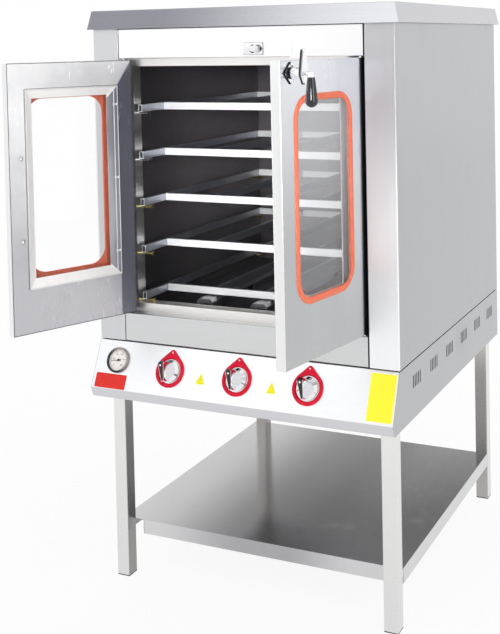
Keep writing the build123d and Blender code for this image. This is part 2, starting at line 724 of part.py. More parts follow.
def burner_tube(x):
    """A closed tube with long flame slots along its top, on two feet, its gas feed coming up at the front."""
    radius, wall, lift, end_gap = 11.0, 1.5, 4.0, 14.0
    flame_slots, slot_half, slot_gap = 4, 1.2, 24.0
    foot_half, foot_long, foot_from_end = 14.0, 12.0, 70.0
    start, end = from_front(BURNER_FRONT) + end_gap, from_front(BURNER_BACK) - end_gap
    middle_z = LINER_FLOOR + lift + radius
    seat_z = middle_z - radius + 2 * wall
    tube = rod(radius, (x, start, middle_z), (x, end, middle_z))
    tube -= rod(radius - wall, (x, start + wall, middle_z), (x, end - wall, middle_z))
    for y in (start + foot_from_end, end - foot_from_end):
        foot_y = (y - foot_long / 2, y + foot_long / 2)
        tube += block((x - foot_half, x + foot_half), foot_y, (LINER_FLOOR, seat_z))
    boss_y = (feed_y() - FEED_RADIUS - wall, feed_y() + FEED_RADIUS + wall)
    tube += block((x - foot_half, x + foot_half), boss_y, (LINER_FLOOR, seat_z))
    tube += standing_rod(FEED_RADIUS, (x, feed_y()), BASE_TOP + 5, LINER_FLOOR + wall)
    tube -= standing_rod(FEED_BORE, (x, feed_y()), BASE_TOP + 4, middle_z)
    pitch = (end - start - slot_gap) / flame_slots
    for index in range(flame_slots):
        slot_start = start + slot_gap + index * pitch
        slot_y = (slot_start, slot_start + pitch - slot_gap)
        tube -= block((x - slot_half, x + slot_half), slot_y, (middle_z, middle_z + radius + 1))
    return tube


def flame_spreader(x):
    """A folded cover with sloping shoulders, two combs of slots on each side and one in its front end."""
    y_front, y_back = from_front(BURNER_FRONT), from_front(BURNER_BACK)
    shoulder, lining_shoulder = 8.0, 7.4
    cover = block((x - BURNER_HALF, x + BURNER_HALF), (y_front, y_back), (LINER_FLOOR, BURNER_TOP))
    cover = chamfer(cover.edges().filter_by(Axis.Y).group_by(Axis.Z)[-1], shoulder)
    inside = block(
        (x - BURNER_HALF + SHEET, x + BURNER_HALF - SHEET),
        (y_front + SHEET, y_back - SHEET),
        (LINER_FLOOR - 1, BURNER_TOP - SHEET),
    )
    cover -= chamfer(inside.edges().filter_by(Axis.Y).group_by(Axis.Z)[-1], lining_shoulder)
    low, high = LINER_FLOOR + 3, BURNER_TOP - 12
    across = (x - BURNER_HALF - 1, x + BURNER_HALF + 1)
    for comb_start in (156, 408):
        for slot in range(SIDE_SLOTS):
            y = y_front + comb_start + slot * SLOT_PITCH
            cover -= block(across, (y, y + SLOT_WIDE), (low, high))
        gate_y = y_front + comb_start + SIDE_SLOTS * SLOT_PITCH + 2
        cover -= block(across, (gate_y, gate_y + GATE_LONG), (LINER_FLOOR - 1, high))
    for slot in range(END_SLOTS):
        slot_x = x + (slot - (END_SLOTS - 1) / 2) * SLOT_PITCH
        slot_limits = (slot_x - SLOT_WIDE / 2, slot_x + SLOT_WIDE / 2)
        cover -= block(slot_limits, (y_front - 1, y_front + SHEET + 1), (low, high))
    return cover


def place_left(shape, angle=LEFT_OPEN):
    """Hang a closed door shape, drawn at its hinge, on the left pins and swing it open."""
    return Pos(-HINGE_X, FRONT + HINGE_Y, 0) * Rot(0, 0, -angle) * shape


def place_right(shape, angle=RIGHT_OPEN):
    """Hang the mirror image on the right pins and swing it open."""
    turned = Rot(0, 0, angle) * mirrored(shape)
    return Pos(HINGE_X, FRONT + HINGE_Y, 0) * turned


def rounded_window(reach, height, corner):
    """A round-cornered outline on a door, as a face looking into the door's thickness."""
    wide = reach[1] - reach[0]
    tall = height[1] - height[0]
    middle = ((reach[0] + reach[1]) / 2, (height[0] + height[1]) / 2)
    return Pos(*middle) * RectangleRounded(wide, tall, corner)


def through_door(face, y_from, y_to):
    """Run a face drawn in a door's own plane through part of its thickness."""
    seat = Plane(origin=(0, y_from, 0), x_dir=(1, 0, 0), z_dir=(0, -1, 0))
    return extrude(seat * face, amount=-(y_to - y_from))


def door_outer_skin():
    """The door's outer pan: face, four returns, a round-cornered window and holes for the pins."""
    y_out, y_in = -HINGE_Y, DOOR_THICK - HINGE_Y - DOOR_SKIN
    pan = block((-DOOR_HEEL, DOOR_REACH), (y_out, y_in), (DOOR_BOTTOM, DOOR_TOP))
    pan = fillet(pan.edges().group_by(Axis.Y)[0], 1.8)
    pan -= block(
        (-DOOR_HEEL + DOOR_SKIN, DOOR_REACH - DOOR_SKIN),
        (y_out + DOOR_SKIN, y_in + 1),
        (DOOR_BOTTOM + DOOR_SKIN, DOOR_TOP - DOOR_SKIN),
    )
    window = rounded_window(WINDOW, WINDOW_HEIGHT, WINDOW_CORNER)
    pan -= through_door(window, y_out - 1, y_out + DOOR_SKIN + 1)
    pan -= rod(PIN_RADIUS + PIN_PLAY, (0, 0, DOOR_BOTTOM - 5), (0, 0, DOOR_BOTTOM + 5))
    pan -= rod(PIN_RADIUS + PIN_PLAY, (0, 0, DOOR_TOP - 5), (0, 0, DOOR_TOP + 5))
    return pan


def door_inner_skin():
    """The door's inner sheet, cut out square behind the glass."""
    y = (DOOR_THICK - HINGE_Y - DOOR_SKIN, DOOR_THICK - HINGE_Y)
    sheet = block((-DOOR_HEEL, DOOR_REACH), y, (DOOR_BOTTOM, DOOR_TOP))
    opening = bead_opening()
    sheet -= block(opening[0], (y[0] - 1, y[1] + 1), opening[1])
    return sheet


def bead_opening():
    """Reach and height limits of the square opening inside the glazing beads."""
    reach = (BEAD_OUTER[0] + BEAD_WIDE[0], BEAD_OUTER[1] - BEAD_WIDE[1])
    height = (BEAD_OUTER_HEIGHT[0] + BEAD_TALL[0], BEAD_OUTER_HEIGHT[1] - BEAD_TALL[1])
    return reach, height


def door_beads():
    """Four glazing beads mitred at their corners, each sloping down from its outer edge."""
    (x0, x1), (z0, z1) = BEAD_OUTER, BEAD_OUTER_HEIGHT
    (u0, u1), (w0, w1) = bead_opening()
    foot = DOOR_THICK - HINGE_Y
    thin, above = foot + 1.6, foot + BEAD_PROUD + 1
    outer = [(x0, z0), (x1, z0), (x1, z1), (x0, z1)]
    inner = [(u0, w0), (u1, w0), (u1, w1), (u0, w1)]
    beads = []
    for index in range(4):
        after = (index + 1) % 4
        corners = [outer[index], outer[after], inner[after], inner[index]]
        bead = through_door(make_face(Polyline(*corners, close=True)), foot, foot + BEAD_PROUD)
        upright = index % 2 == 1
        edge = outer[index][0] if upright else outer[index][1]
        lip = inner[index][0] if upright else inner[index][1]
        wedge = [(edge, foot + BEAD_PROUD), (lip, thin), (lip, above), (edge, above)]
        if upright:
            bead -= along_z(make_face(Polyline(*wedge, close=True)), z0 - 1, z1 + 1)
        else:
            turned = [point[::-1] for point in wedge]
            bead -= along_x(make_face(Polyline(*turned, close=True)), x0 - 1, x1 + 1)
        beads.append(bead)
    return beads


def door_glass():
    """Outer and inner panes: one in the gasket, flush with the face, one behind the beads' sheet."""
    y_out = -HINGE_Y
    margin = GASKET_LAND / 2 + 1
    reach = (WINDOW[0] + PANE_INSET, WINDOW[1] - PANE_INSET)
    height = (WINDOW_HEIGHT[0] + PANE_INSET, WINDOW_HEIGHT[1] - PANE_INSET)
    outer = through_door(rounded_window(reach, height, WINDOW_CORNER - PANE_INSET), y_out, y_out + GLASS)
    opening = bead_opening()
    inner = block(
        (opening[0][0] - margin, opening[0][1] + margin),
        (DOOR_THICK - HINGE_Y - DOOR_SKIN - GLASS, DOOR_THICK - HINGE_Y - DOOR_SKIN),
        (opening[1][0] - margin, opening[1][1] + margin),
    )
    return [outer, inner]


def window_outline(grow):
    """The outer window's outline grown, or shrunk when negative, by a margin all round."""
    reach = (WINDOW[0] - grow, WINDOW[1] + grow)
    height = (WINDOW_HEIGHT[0] - grow, WINDOW_HEIGHT[1] + grow)
    return rounded_window(reach, height, WINDOW_CORNER + grow)


def door_gasket():
    """The orange glazing rubber: its two lips grip the sheet's edge outside and the pane's edge inside."""
    y_out = -HINGE_Y
    lip = 2.5
    big, small = window_outline(GASKET_LAND), window_outline(-GASKET_LAND)
    window, pane = window_outline(0), window_outline(-PANE_INSET)
    front = through_door(big - small, y_out - GASKET_PROUD, y_out)
    web = through_door(window - pane, y_out, y_out + GLASS)
    rear_on_sheet = through_door(big - pane, y_out + DOOR_SKIN, y_out + GLASS + lip)
    rear_on_pane = through_door(pane - small, y_out + GLASS, y_out + GLASS + lip)
    return front + web + rear_on_sheet + rear_on_pane


def latch_lever():
    """The chrome lever: hub on the rose's post, a hooked arm upward and a shank down to the grip."""
    face = -HINGE_Y
    x = LATCH_REACH
    stand = face - LEVER_STAND
    back, front = face - ROSE_THICK - 6, stand - LEVER_THICK
    hub = rod(13, (x, back, LATCH_HEIGHT), (x, front, LATCH_HEIGHT))
    head = make_hull([
        *(Pos(x, LATCH_HEIGHT) * Circle(15)).edges(),
        *(Pos(x, LATCH_HEIGHT + 48) * Circle(7)).edges(),
        *(Pos(x, LATCH_HEIGHT - 22) * Circle(5)).edges(),
    ])
    arm = through_door(head, front, stand)
    arm = chamfer(arm.edges().group_by(Axis.Y)[0], 2.0)
    finger_z = (LATCH_HEIGHT + 34, LATCH_HEIGHT + 41)
    tip_out, hook_thick = face - 4, 4.0
    across = (x - HOOK_HALF, x + HOOK_HALF)
    finger = block(across, (stand - 1, tip_out), finger_z)
    hook = block(across, (tip_out - hook_thick, tip_out), (finger_z[0], LATCH_HEIGHT + HOOK_REACH))
    grip_y = face - GRIP_STAND
    eye_low, eye_high = GRIP_TOP + 2, GRIP_TOP + 12
    shank = rod(5, (x, stand - 4, LATCH_HEIGHT + 2), (x, grip_y, GRIP_TOP + 6))
    eye = standing_rod(6.5, (x, grip_y), eye_low, eye_high)
    pin = standing_rod(GRIP_BORE, (x, grip_y), GRIP_TOP - GRIP_BORE_DEEP, eye_low)
    lever = hub + arm + finger + hook + shank + eye + pin
    lever -= rod(ROSE_POST + PIN_PLAY, (x, face, LATCH_HEIGHT), (x, stand - 2, LATCH_HEIGHT))
    return lever


def latch_rose():
    """The diamond plate screwed to the door, with the post that the lever turns on."""
    face = -HINGE_Y
    side = ROSE_HALF * math.sqrt(2)
    diamond = Pos(LATCH_REACH, LATCH_HEIGHT) * Rot(0, 0, 45) * RectangleRounded(side, side, 4)
    plate = through_door(diamond, face - ROSE_THICK, face)
    plate = chamfer(plate.edges().group_by(Axis.Y)[0], 1.2)
    front = face - ROSE_THICK
    post_end, boss_end = face - LEVER_STAND + 2, front - 5
    post = rod(ROSE_POST, (LATCH_REACH, front, LATCH_HEIGHT), (LATCH_REACH, post_end, LATCH_HEIGHT))
    boss = rod(14, (LATCH_REACH, front, LATCH_HEIGHT), (LATCH_REACH, boss_end, LATCH_HEIGHT))
    return plate + post + boss


def latch_grip():
    """The black grip: a tapered turning with a rounded end, hanging from the lever."""
    slim, stout, end_round = 5.5, 8.4, 3.0
    outline = Polyline(
        (GRIP_BORE, 0),
        (slim, 0),
        (stout, 2 * end_round - GRIP_LONG),
        (stout - end_round / 2, end_round / 2 - GRIP_LONG),
        (stout - 1.5 * end_round, -GRIP_LONG),
        (0, -GRIP_LONG),
        (0, -GRIP_BORE_DEEP),
        (GRIP_BORE, -GRIP_BORE_DEEP),
        close=True,
    )
    turning = revolve(Plane.XZ * make_face(outline), axis=Axis.Z)
    return Pos(LATCH_REACH, -HINGE_Y - GRIP_STAND, GRIP_TOP) * turning


def pull_handle():
    """The left door's pull: a straight bar on two posts, over the two through bolts of its inner face."""
    reach, stand, bar_past = 321.0, 42.0, 22.0
    heights = (1013.0, 1228.0)
    face = -HINGE_Y
    bar_radius, post_radius, foot_radius, foot_thick = 6.5, 5.0, 10.0, 4.0
    bar = standing_rod(bar_radius, (reach, face - stand), heights[0] - bar_past, heights[1] + bar_past)
    for z in heights:
        bar += rod(post_radius, (reach, face, z), (reach, face - stand, z))
        bar += rod(foot_radius, (reach, face, z), (reach, face - foot_thick, z))
    return bar


def make_doors():
    """Both doors from the same mirrored parts, the latch on the right one, the pull on the left one."""
    for name, place in (("left", place_left), ("right", place_right)):
        save(f"door_{name}_outer_skin", *solids_of(place(door_outer_skin())))
        save(f"door_{name}_inner_skin", *solids_of(place(door_inner_skin())))
        save(f"door_{name}_beads", *[place(bead).solids()[0] for bead in door_beads()])
        save(f"door_{name}_glass", *[place(pane).solids()[0] for pane in door_glass()])
        save(f"door_{name}_gasket", *solids_of(place(door_gasket())))
    save("door_left_pull", *solids_of(place_left(pull_handle())))
    save("latch_rose", *solids_of(place_right(latch_rose())))
    save("latch_lever", *solids_of(place_right(latch_lever())))
    save("latch_grip", *solids_of(place_right(latch_grip())))


def make_keeper():
    """The keeper on the fascia: a round-cornered plate and a lens-shaped block that the hook turns behind."""
    seat = Plane(origin=(KEEPER_X, FRONT, KEEPER_Z), x_dir=(1, 0, 0), z_dir=(0, -1, 0))
    plate = extrude(seat * RectangleRounded(KEEPER_WIDE, KEEPER_TALL, 5), amount=KEEPER_THICK)
    lens = make_face([
        ThreePointArc((-CATCH_HALF, 0), (0, CATCH_RISE), (CATCH_HALF, 0)),
        ThreePointArc((CATCH_HALF, 0), (0, -CATCH_RISE), (-CATCH_HALF, 0)),
    ])
    crown = 4.0
    shrink = 0.7
    place = Pos(CATCH_X - KEEPER_X, 0, CATCH_GAP)
    catch = extrude(seat * (place * lens), amount=CATCH_OUT - CATCH_GAP - crown)
    rise = Pos(0, 0, CATCH_OUT - CATCH_GAP)
    shoulder = Pos(0, 0, CATCH_OUT - CATCH_GAP - crown)
    catch += loft([seat * (place * shoulder * lens), seat * (place * rise * scale(lens, shrink))], ruled=True)
    web_half, web_gap, web_sunk = 7.0, 1.2, 2.0
    web = block(
        (CATCH_X - web_half, CATCH_X + web_half),
        (FRONT - CATCH_GAP - web_sunk, FRONT - KEEPER_THICK),
        (LATCH_HEIGHT + HOOK_REACH + web_gap, KEEPER_Z + CATCH_RISE - 0.5),
    )
    save("latch_keeper", *solids_of(plate), *solids_of(catch + web))


make_stand()
make_base()
make_gas_train()
make_knobs()
make_thermometer()
make_cabinet()
make_hood()
make_oven()
make_rack_bolts()
make_racks()
make_burners()
make_doors()
make_keeper()
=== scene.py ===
import json
import math

import bmesh
import bpy
import numpy as np
from mathutils import Matrix, Vector


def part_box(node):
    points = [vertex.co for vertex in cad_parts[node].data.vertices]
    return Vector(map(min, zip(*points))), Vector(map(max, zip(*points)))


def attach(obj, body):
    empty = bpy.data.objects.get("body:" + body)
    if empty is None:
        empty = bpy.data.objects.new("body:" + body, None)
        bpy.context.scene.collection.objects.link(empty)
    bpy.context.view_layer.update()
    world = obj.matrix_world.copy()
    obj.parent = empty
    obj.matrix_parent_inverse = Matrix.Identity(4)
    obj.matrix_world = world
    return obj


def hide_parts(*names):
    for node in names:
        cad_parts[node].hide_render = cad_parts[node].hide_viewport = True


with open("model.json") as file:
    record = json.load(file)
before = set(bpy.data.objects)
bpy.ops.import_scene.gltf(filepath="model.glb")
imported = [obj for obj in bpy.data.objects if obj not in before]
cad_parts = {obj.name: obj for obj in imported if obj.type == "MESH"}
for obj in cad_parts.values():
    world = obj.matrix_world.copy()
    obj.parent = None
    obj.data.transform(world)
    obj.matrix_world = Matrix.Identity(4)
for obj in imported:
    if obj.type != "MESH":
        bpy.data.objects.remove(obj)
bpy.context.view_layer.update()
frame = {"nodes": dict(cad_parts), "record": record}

# The dressed look of a gas pastry oven on a tube stand. Metres, +Z up, the front faces -Y, the origin on
# the floor under the middle of the cabinet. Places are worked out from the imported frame.

MM = 0.001
X, Y, Z = (1, 0, 0), (0, 1, 0), (0, 0, 1)
SIDES = ("left", "right")
KNOBS = ("left", "middle", "right")
RACK_LEVELS = range(1, 6)


# Shader building


class Value:
    """A number or colour socket that takes part in plain arithmetic."""

    def __init__(self, sheet, socket):
        self.sheet = sheet
        self.socket = socket

    def math(self, operation, *others, clamp=False):
        """One Math node on this value and up to two more."""
        settings = {"operation": operation, "use_clamp": clamp}
        sockets = dict(enumerate((self, *others)))
        return Value(self.sheet, self.sheet.node("ShaderNodeMath", settings, sockets).outputs[0])

    def __add__(self, other):
        return self.math("ADD", other)

    __radd__ = __add__

    def __sub__(self, other):
        return self.math("SUBTRACT", other)

    def __rsub__(self, other):
        return (self * -1.0) + other

    def __mul__(self, other):
        return self.math("MULTIPLY", other)

    __rmul__ = __mul__

    def clamped(self):
        """Held between 0 and 1."""
        return self.math("ADD", 0.0, clamp=True)

    def step(self, low, high):
        """Rises smoothly from 0 at low to 1 at high, or falls where low is the larger."""
        settings = {"interpolation_type": "SMOOTHSTEP"}
        if low > high:
            return 1.0 - self.step(high, low)
        sockets = {"Value": self, "From Min": low, "From Max": high}
        return Value(self.sheet, self.sheet.node("ShaderNodeMapRange", settings, sockets).outputs["Result"])


class Sheet:
    """A node tree that is being filled."""

    def __init__(self, tree):
        self.tree = tree
        tree.nodes.clear()

    def feed(self, socket, item):
        """Set a socket to a plain value or link it to another socket."""
        if isinstance(item, Value):
            self.tree.links.new(item.socket, socket)
        elif isinstance(item, tuple) and len(item) == 3 and socket.type == "RGBA":
            socket.default_value = (*item, 1.0)
        else:
            socket.default_value = item

    def node(self, kind, settings=None, inputs=None):
        """A node of any kind, with its settings first and then its sockets."""
        node = self.tree.nodes.new(kind)
        for key, item in (settings or {}).items():
            setattr(node, key, item)
        for key, item in (inputs or {}).items():
            self.feed(node.inputs[key], item)
        return node

    def vector_math(self, operation, first, second, output=0):
        """One Vector Math node on two vectors, or on a vector and a scale."""
        node = self.node("ShaderNodeVectorMath", {"operation": operation}, {0: first})
        self.feed(node.inputs["Scale"] if operation == "SCALE" else node.inputs[1], second)
        return Value(self, node.outputs[output])

    def place(self, scale=(1, 1, 1), shift=(0, 0, 0)):
        """Object coordinates, scaled and shifted."""
        where = Value(self, self.node("ShaderNodeTexCoord").outputs["Object"])
        mapping = self.node("ShaderNodeMapping", None, {"Vector": where, "Location": shift, "Scale": scale})
        return Value(self, mapping.outputs[0])

    def along(self, direction, origin=(0, 0, 0)):
        """How far a place lies from an origin along a direction, in metres."""
        start = sum(a * b for a, b in zip(direction, origin))
        return self.vector_math("DOT_PRODUCT", self.place(), tuple(direction), "Value") - start

    def facing(self, direction, low=0.5, high=0.8):
        """From 0 to 1 as the cosine between the surface's normal and a direction rises from low to high."""
        normal = Value(self, self.node("ShaderNodeTexCoord").outputs["Normal"])
        return self.vector_math("DOT_PRODUCT", normal, tuple(direction), "Value").step(low, high)

    def noise(self, scale, stretch=(1, 1, 1), detail=2.0, roughness=0.5, shift=(0, 0, 0)):
        """Soft noise from 0 to 1, with a cell of about 1/scale metres, stretched per axis."""
        texture = self.node("ShaderNodeTexNoise", None, {
            "Vector": self.place(tuple(1.0 / s for s in stretch), shift),
            "Scale": scale, "Detail": detail, "Roughness": roughness,
        })
        return Value(self, texture.outputs["Fac"])

    def blend(self, factor, first, second):
        """Mix two colours by a factor."""
        mix = self.node("ShaderNodeMix", {"data_type": "RGBA"})
        self.feed(mix.inputs["Factor"], factor)
        self.feed(mix.inputs[6], first)
        self.feed(mix.inputs[7], second)
        return Value(self, mix.outputs[2])

    def dent(self, height, depth):
        """A normal from a height between 0 and 1, this many metres deep."""
        bump = self.node("ShaderNodeBump", None, {"Height": height, "Distance": depth, "Strength": 1.0})
        return Value(self, bump.outputs[0])


class Paint(Sheet):
    """One material under construction: its node tree and the shader that it ends in."""

    def __init__(self, name):
        self.material = bpy.data.materials.new(name)
        self.material.use_nodes = True
        super().__init__(self.material.node_tree)
        self.out = self.node("ShaderNodeOutputMaterial")
        self.shader = self.node("ShaderNodeBsdfPrincipled")
        self.tree.links.new(self.shader.outputs[0], self.out.inputs["Surface"])

    def finish(self, **sockets):
        """Set the shader's sockets, written with underscores for spaces, and give the material."""
        for key, item in sockets.items():
            self.feed(self.shader.inputs[key.replace("_", " ")], item)
        return self.material

    def brushed(self, colour, grain, gloss=0.30, cloud=0.10):
        """Finish as brushed sheet: streaks along the grain, soft clouds and a few wiped smudges."""
        stretch = {"x": (40, 1, 1), "y": (1, 40, 1), "z": (1, 1, 40)}[grain]
        streaks = self.noise(900, stretch, detail=3, roughness=0.6)
        bands = self.noise(60, stretch, detail=2, shift=(3.1, 1.7, 0.4))
        clouds = self.noise(3.2, detail=3, roughness=0.55, shift=(0.3, 2.2, 5.1))
        smears = self.noise(9, (1.0, 1.0, 2.2), detail=4, roughness=0.6, shift=(7.7, 0.2, 1.3))
        wipes = smears.step(0.56, 0.74)
        light = 1.0 + (streaks - 0.5) * 0.08 + (bands - 0.5) * 0.05 + (clouds - 0.5) * cloud
        if not isinstance(colour, Value):
            colour = self.blend(0.0, colour, colour)
        rough = gloss + (streaks - 0.5) * 0.10 + (clouds - 0.5) * 0.10 + wipes * 0.06
        return self.finish(
            Base_Color=self.vector_math("SCALE", colour, light), Metallic=1.0, Roughness=rough.clamped(),
            Normal=self.dent(streaks, 0.00002),
        )

    def covered(self, cover, share):
        """Mix another shader over the surface by a share from 0 to 1, and give the material."""
        mix = self.node("ShaderNodeMixShader", None, {0: share})
        self.tree.links.new(self.shader.outputs[0], mix.inputs[1])
        self.tree.links.new(cover.outputs[0], mix.inputs[2])
        self.tree.links.new(mix.outputs[0], self.out.inputs["Surface"])
        return self.material


# Local frames


class Seat:
    """A local frame on the object: an origin in metres and the directions across, up and out."""

    def __init__(self, origin, across, up, out):
        self.origin = np.array(origin, float)
        self.across, self.up, self.out = (np.array(axis, float) for axis in (across, up, out))

    def at(self, u, v, w):
        """Points of the object for local distances across, up and out, as one array."""
        u, v, w = np.broadcast_arrays(*(np.asarray(item, float)[..., None] for item in (u, v, w)))
        return self.origin + u * self.across + v * self.up + w * self.out

    def moved(self, u=0.0, v=0.0, w=0.0):
        """The same frame with its origin moved."""
        return Seat(self.at(u, v, w), self.across, self.up, self.out)

    def middle_of(self, low, high, w=0.0):
        """The same frame with its origin midway between two corners, this far out."""
        return self.moved((low[0] + high[0]) / 2, (low[1] + high[1]) / 2, w)

    def turned(self, degrees):
        """The same frame turned about its outward direction."""
        c, s = math.cos(math.radians(degrees)), math.sin(math.radians(degrees))
        return Seat(self.origin, c * self.across + s * self.up, c * self.up - s * self.across, self.out)

    def extent(self, node):
        """Lowest and highest local coordinates of a CAD node."""
        mesh = frame["nodes"][node].data
        points = np.empty(3 * len(mesh.vertices))
        mesh.vertices.foreach_get("co", points)
        local = (points.reshape(-1, 3) - self.origin) @ np.array((self.across, self.up, self.out)).T
        return local.min(axis=0), local.max(axis=0)


def joint_named(name):
    """The record's entry for one joint."""
    return next(joint for joint in frame["record"]["behaviour"]["joints"] if joint["name"] == name)


def door_seat(side):
    """A door's frame at rest: reach from its hinge, height, and out of its outer face."""
    joint = joint_named(f"door_{side}_hinge")
    hand = 1.0 if side == "left" else -1.0
    opened = -math.radians(joint["range_deg"][0]) * joint["axis"][2]
    reach = (hand * math.cos(opened), hand * math.sin(opened), 0.0)
    out = (math.sin(opened), -math.cos(opened), 0.0)
    x, y, _ = joint["pos_m"]
    return Seat((x, y, 0.0), reach, Z, out)


def panel_seat():
    """The sloping control panel: across, up the slope and out, from the middle of its face's top edge."""
    out = np.array(joint_named("knob_middle_turn")["axis"])
    up = (0.0, out[2], -out[1])
    return Seat((0.0, FRONT_Y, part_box("control_panel")[1][2]), X, up, out)


DOORS = {side: door_seat(side) for side in SIDES}
LEFT_DOOR, RIGHT_DOOR = DOORS["left"], DOORS["right"]
FRONT_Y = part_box("lower_front_panel")[0][1]
PANEL = panel_seat()
PANEL_SLOPE_LONG = 132.5 * MM
PANEL_NOSE_Z = PANEL.at(0, -PANEL_SLOPE_LONG, 0)[2]
LINER_SIDE_X = -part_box("oven_side_left")[1][0]


# Surfaces


def grid_faces(rows, columns, ring=False):
    """Quads of a grid whose columns close on themselves, its rows closed too, or else capped at both ends."""
    row = np.arange(rows if ring else rows - 1)[:, None]
    column = np.arange(columns)[None, :]
    after_row, after_column = (row + 1) % rows, (column + 1) % columns
    corners = (
        row * columns + column,
        row * columns + after_column,
        after_row * columns + after_column,
        after_row * columns + column,
    )
    faces = np.stack(np.broadcast_arrays(*corners), axis=-1).reshape(-1, 4).tolist()
    if not ring:
        last = (rows - 1) * columns
        faces += [list(range(columns)), list(range(last, last + columns))]
    return faces


def layered(seat, outlines, heights, ring=False):
    """A closed surface through outlines of equal count, one at each height out of the seat.

    Point j of layer i is at (u_ij, v_ij, w_i), or w_ij where the heights are given point by point. The
    first and last layers are capped, or joined to each other where ring is set.
    """
    outlines = np.asarray(outlines, float)
    heights = np.asarray(heights, float)
    if heights.ndim == 1:
        heights = heights[:, None]
    points = seat.at(outlines[..., 0], outlines[..., 1], heights)
    return points.reshape(-1, 3), grid_faces(*outlines.shape[:2], ring)


def full_turn(sides):
    """Angles evenly spaced round a circle."""
    return np.linspace(0, 2 * np.pi, sides, endpoint=False)


def arc(radius, turn):
    """Points at an array of angles on a circle about the origin."""
    return np.stack((radius * np.cos(turn), radius * np.sin(turn)), axis=-1)


def circle(radius, sides):
    """Points of a whole circle about the origin."""
    return arc(radius, full_turn(sides))


def rounded_box(wide, tall, corner, inset=0.0, steps=6):
    """A rectangle about the origin with quarter-circle corners, moved inward by an inset."""
    x, y = wide / 2, tall / 2
    return rounded_corners([(x, y), (-x, y), (-x, -y), (x, -y)], corner, inset, steps)


def rounded_corners(corners, radius, inset=0.0, steps=6):
    """A convex outline through corners listed anticlockwise, each rounded by an arc, moved inward.

    Each arc's middle lies on its corner's bisector, radius / sin(half the corner's angle) from it.
    """
    corners = np.asarray(corners, float)
    points = []
    for index, corner in enumerate(corners):
        before = corners[index - 1] - corner
        after = corners[(index + 1) % len(corners)] - corner
        before, after = before / np.hypot(*before), after / np.hypot(*after)
        half = math.acos(float(before @ after)) / 2
        bisector = (before + after) / np.hypot(*(before + after))
        middle = corner + bisector * (radius / math.sin(half))
        start = math.atan2(before[0], -before[1])
        sweep = math.pi - 2 * half
        points.append(middle + arc(radius - inset, start + np.linspace(0, sweep, steps + 1)))
    return np.concatenate(points)


def joined(*shapes):
    """Several point-and-face shapes as one."""
    points, faces, count = [], [], 0
    for shape_points, shape_faces in shapes:
        points.append(shape_points)
        faces += [[index + count for index in face] for face in shape_faces]
        count += len(shape_points)
    return np.concatenate(points), faces


def into_scene(name, data):
    """A new object of the scene for a mesh, curve, lamp or camera."""
    item = bpy.data.objects.new(name, data)
    bpy.context.scene.collection.objects.link(item)
    return item


def make_piece(name, shape, finish, body):
    """A piece of the object from points and faces, its faces turned outward, riding on a body."""
    sharp_from = math.radians(35)
    points, faces = shape
    mesh = bpy.data.meshes.new(name)
    mesh.from_pydata(points.tolist(), [], faces)
    edit = bmesh.new()
    edit.from_mesh(mesh)
    bmesh.ops.recalc_face_normals(edit, faces=edit.faces)
    edit.to_mesh(mesh)
    edit.free()
    mesh.shade_smooth()
    mesh.set_sharp_from_angle(angle=sharp_from)
    mesh.materials.append(finish)
    piece = into_scene(name, mesh)
    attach(piece, body)
    return piece


def dome(seat, radius, rise, sides, skirt=0.0):
    """A low dome, over any skirt: its radius shrinks as a cosine while its height grows as a sine."""
    rings, short_of_top = 5, 0.94
    turn = np.linspace(0, np.pi / 2 * short_of_top, rings)
    outlines = [circle(radius * math.cos(t), sides) for t in turn]
    heights = [rise * math.sin(t) for t in turn]
    if skirt:
        outlines, heights = [outlines[0], *outlines], [-skirt, *heights]
    return layered(seat, outlines, heights)


# Finishes


def plain_steel(name, grain, tone, gloss=0.30, cloud=0.10):
    """Stainless sheet of one tone all over."""
    return Paint(name).brushed(tone, grain, gloss, cloud)


def hood_steel():
    """The hood: its front painted with a reflection gradient from grey at the left to near white at the
    right, its sides grey, and painted shade dark under its lip.
    """
    paint = Paint("hood_steel")
    grey_x, white_x = -0.27, 0.50
    # Painted reflection: the front runs from grey at the left to near white at the right.
    front = paint.blend(paint.along(X).step(grey_x, white_x), (0.245, 0.245, 0.275), (0.80, 0.805, 0.845))
    beside = paint.along(Y).step(FRONT_Y - 0.003, FRONT_Y)
    outside = paint.blend(beside, front, (0.60, 0.60, 0.615))
    # Painted shade: dark under the lip.
    under = paint.facing((0, 0, -1))
    return paint.brushed(paint.blend(under, outside, (0.05, 0.05, 0.055)), "x", 0.28, 0.08)


def panel_steel():
    """The control panel: its sloping face toned near white as a painted highlight, a little greyer towards
    the left end, and greyer below the nose and on the turned-in edge.
    """
    paint = Paint("panel_steel")
    # Painted highlight: the sloping face near white, a little greyer to the left; the steel below the nose
    # stays greyer.
    below = paint.along(Z).step(PANEL_NOSE_Z + 0.001, PANEL_NOSE_Z - 0.001)
    face = paint.blend(paint.along(X).step(-0.50, -0.05), (0.82, 0.83, 0.87), (0.92, 0.93, 0.94))
    return paint.brushed(paint.blend(below, face, (0.66, 0.66, 0.685)), "x", 0.34, 0.03)


def mouth_frame_steel():
    """The frame round the mouth: pale and stained, its right jamb painted dark as painted shade."""
    paint = Paint("mouth_steel")
    pale_to, shade_from = 0.300, 0.325
    # Painted shade: the right jamb is toned dark.
    jamb = paint.along(X).step(pale_to, shade_from)
    return paint.brushed(paint.blend(jamb, (0.86, 0.845, 0.825), (0.10, 0.10, 0.11)), "x", 0.36, 0.22)


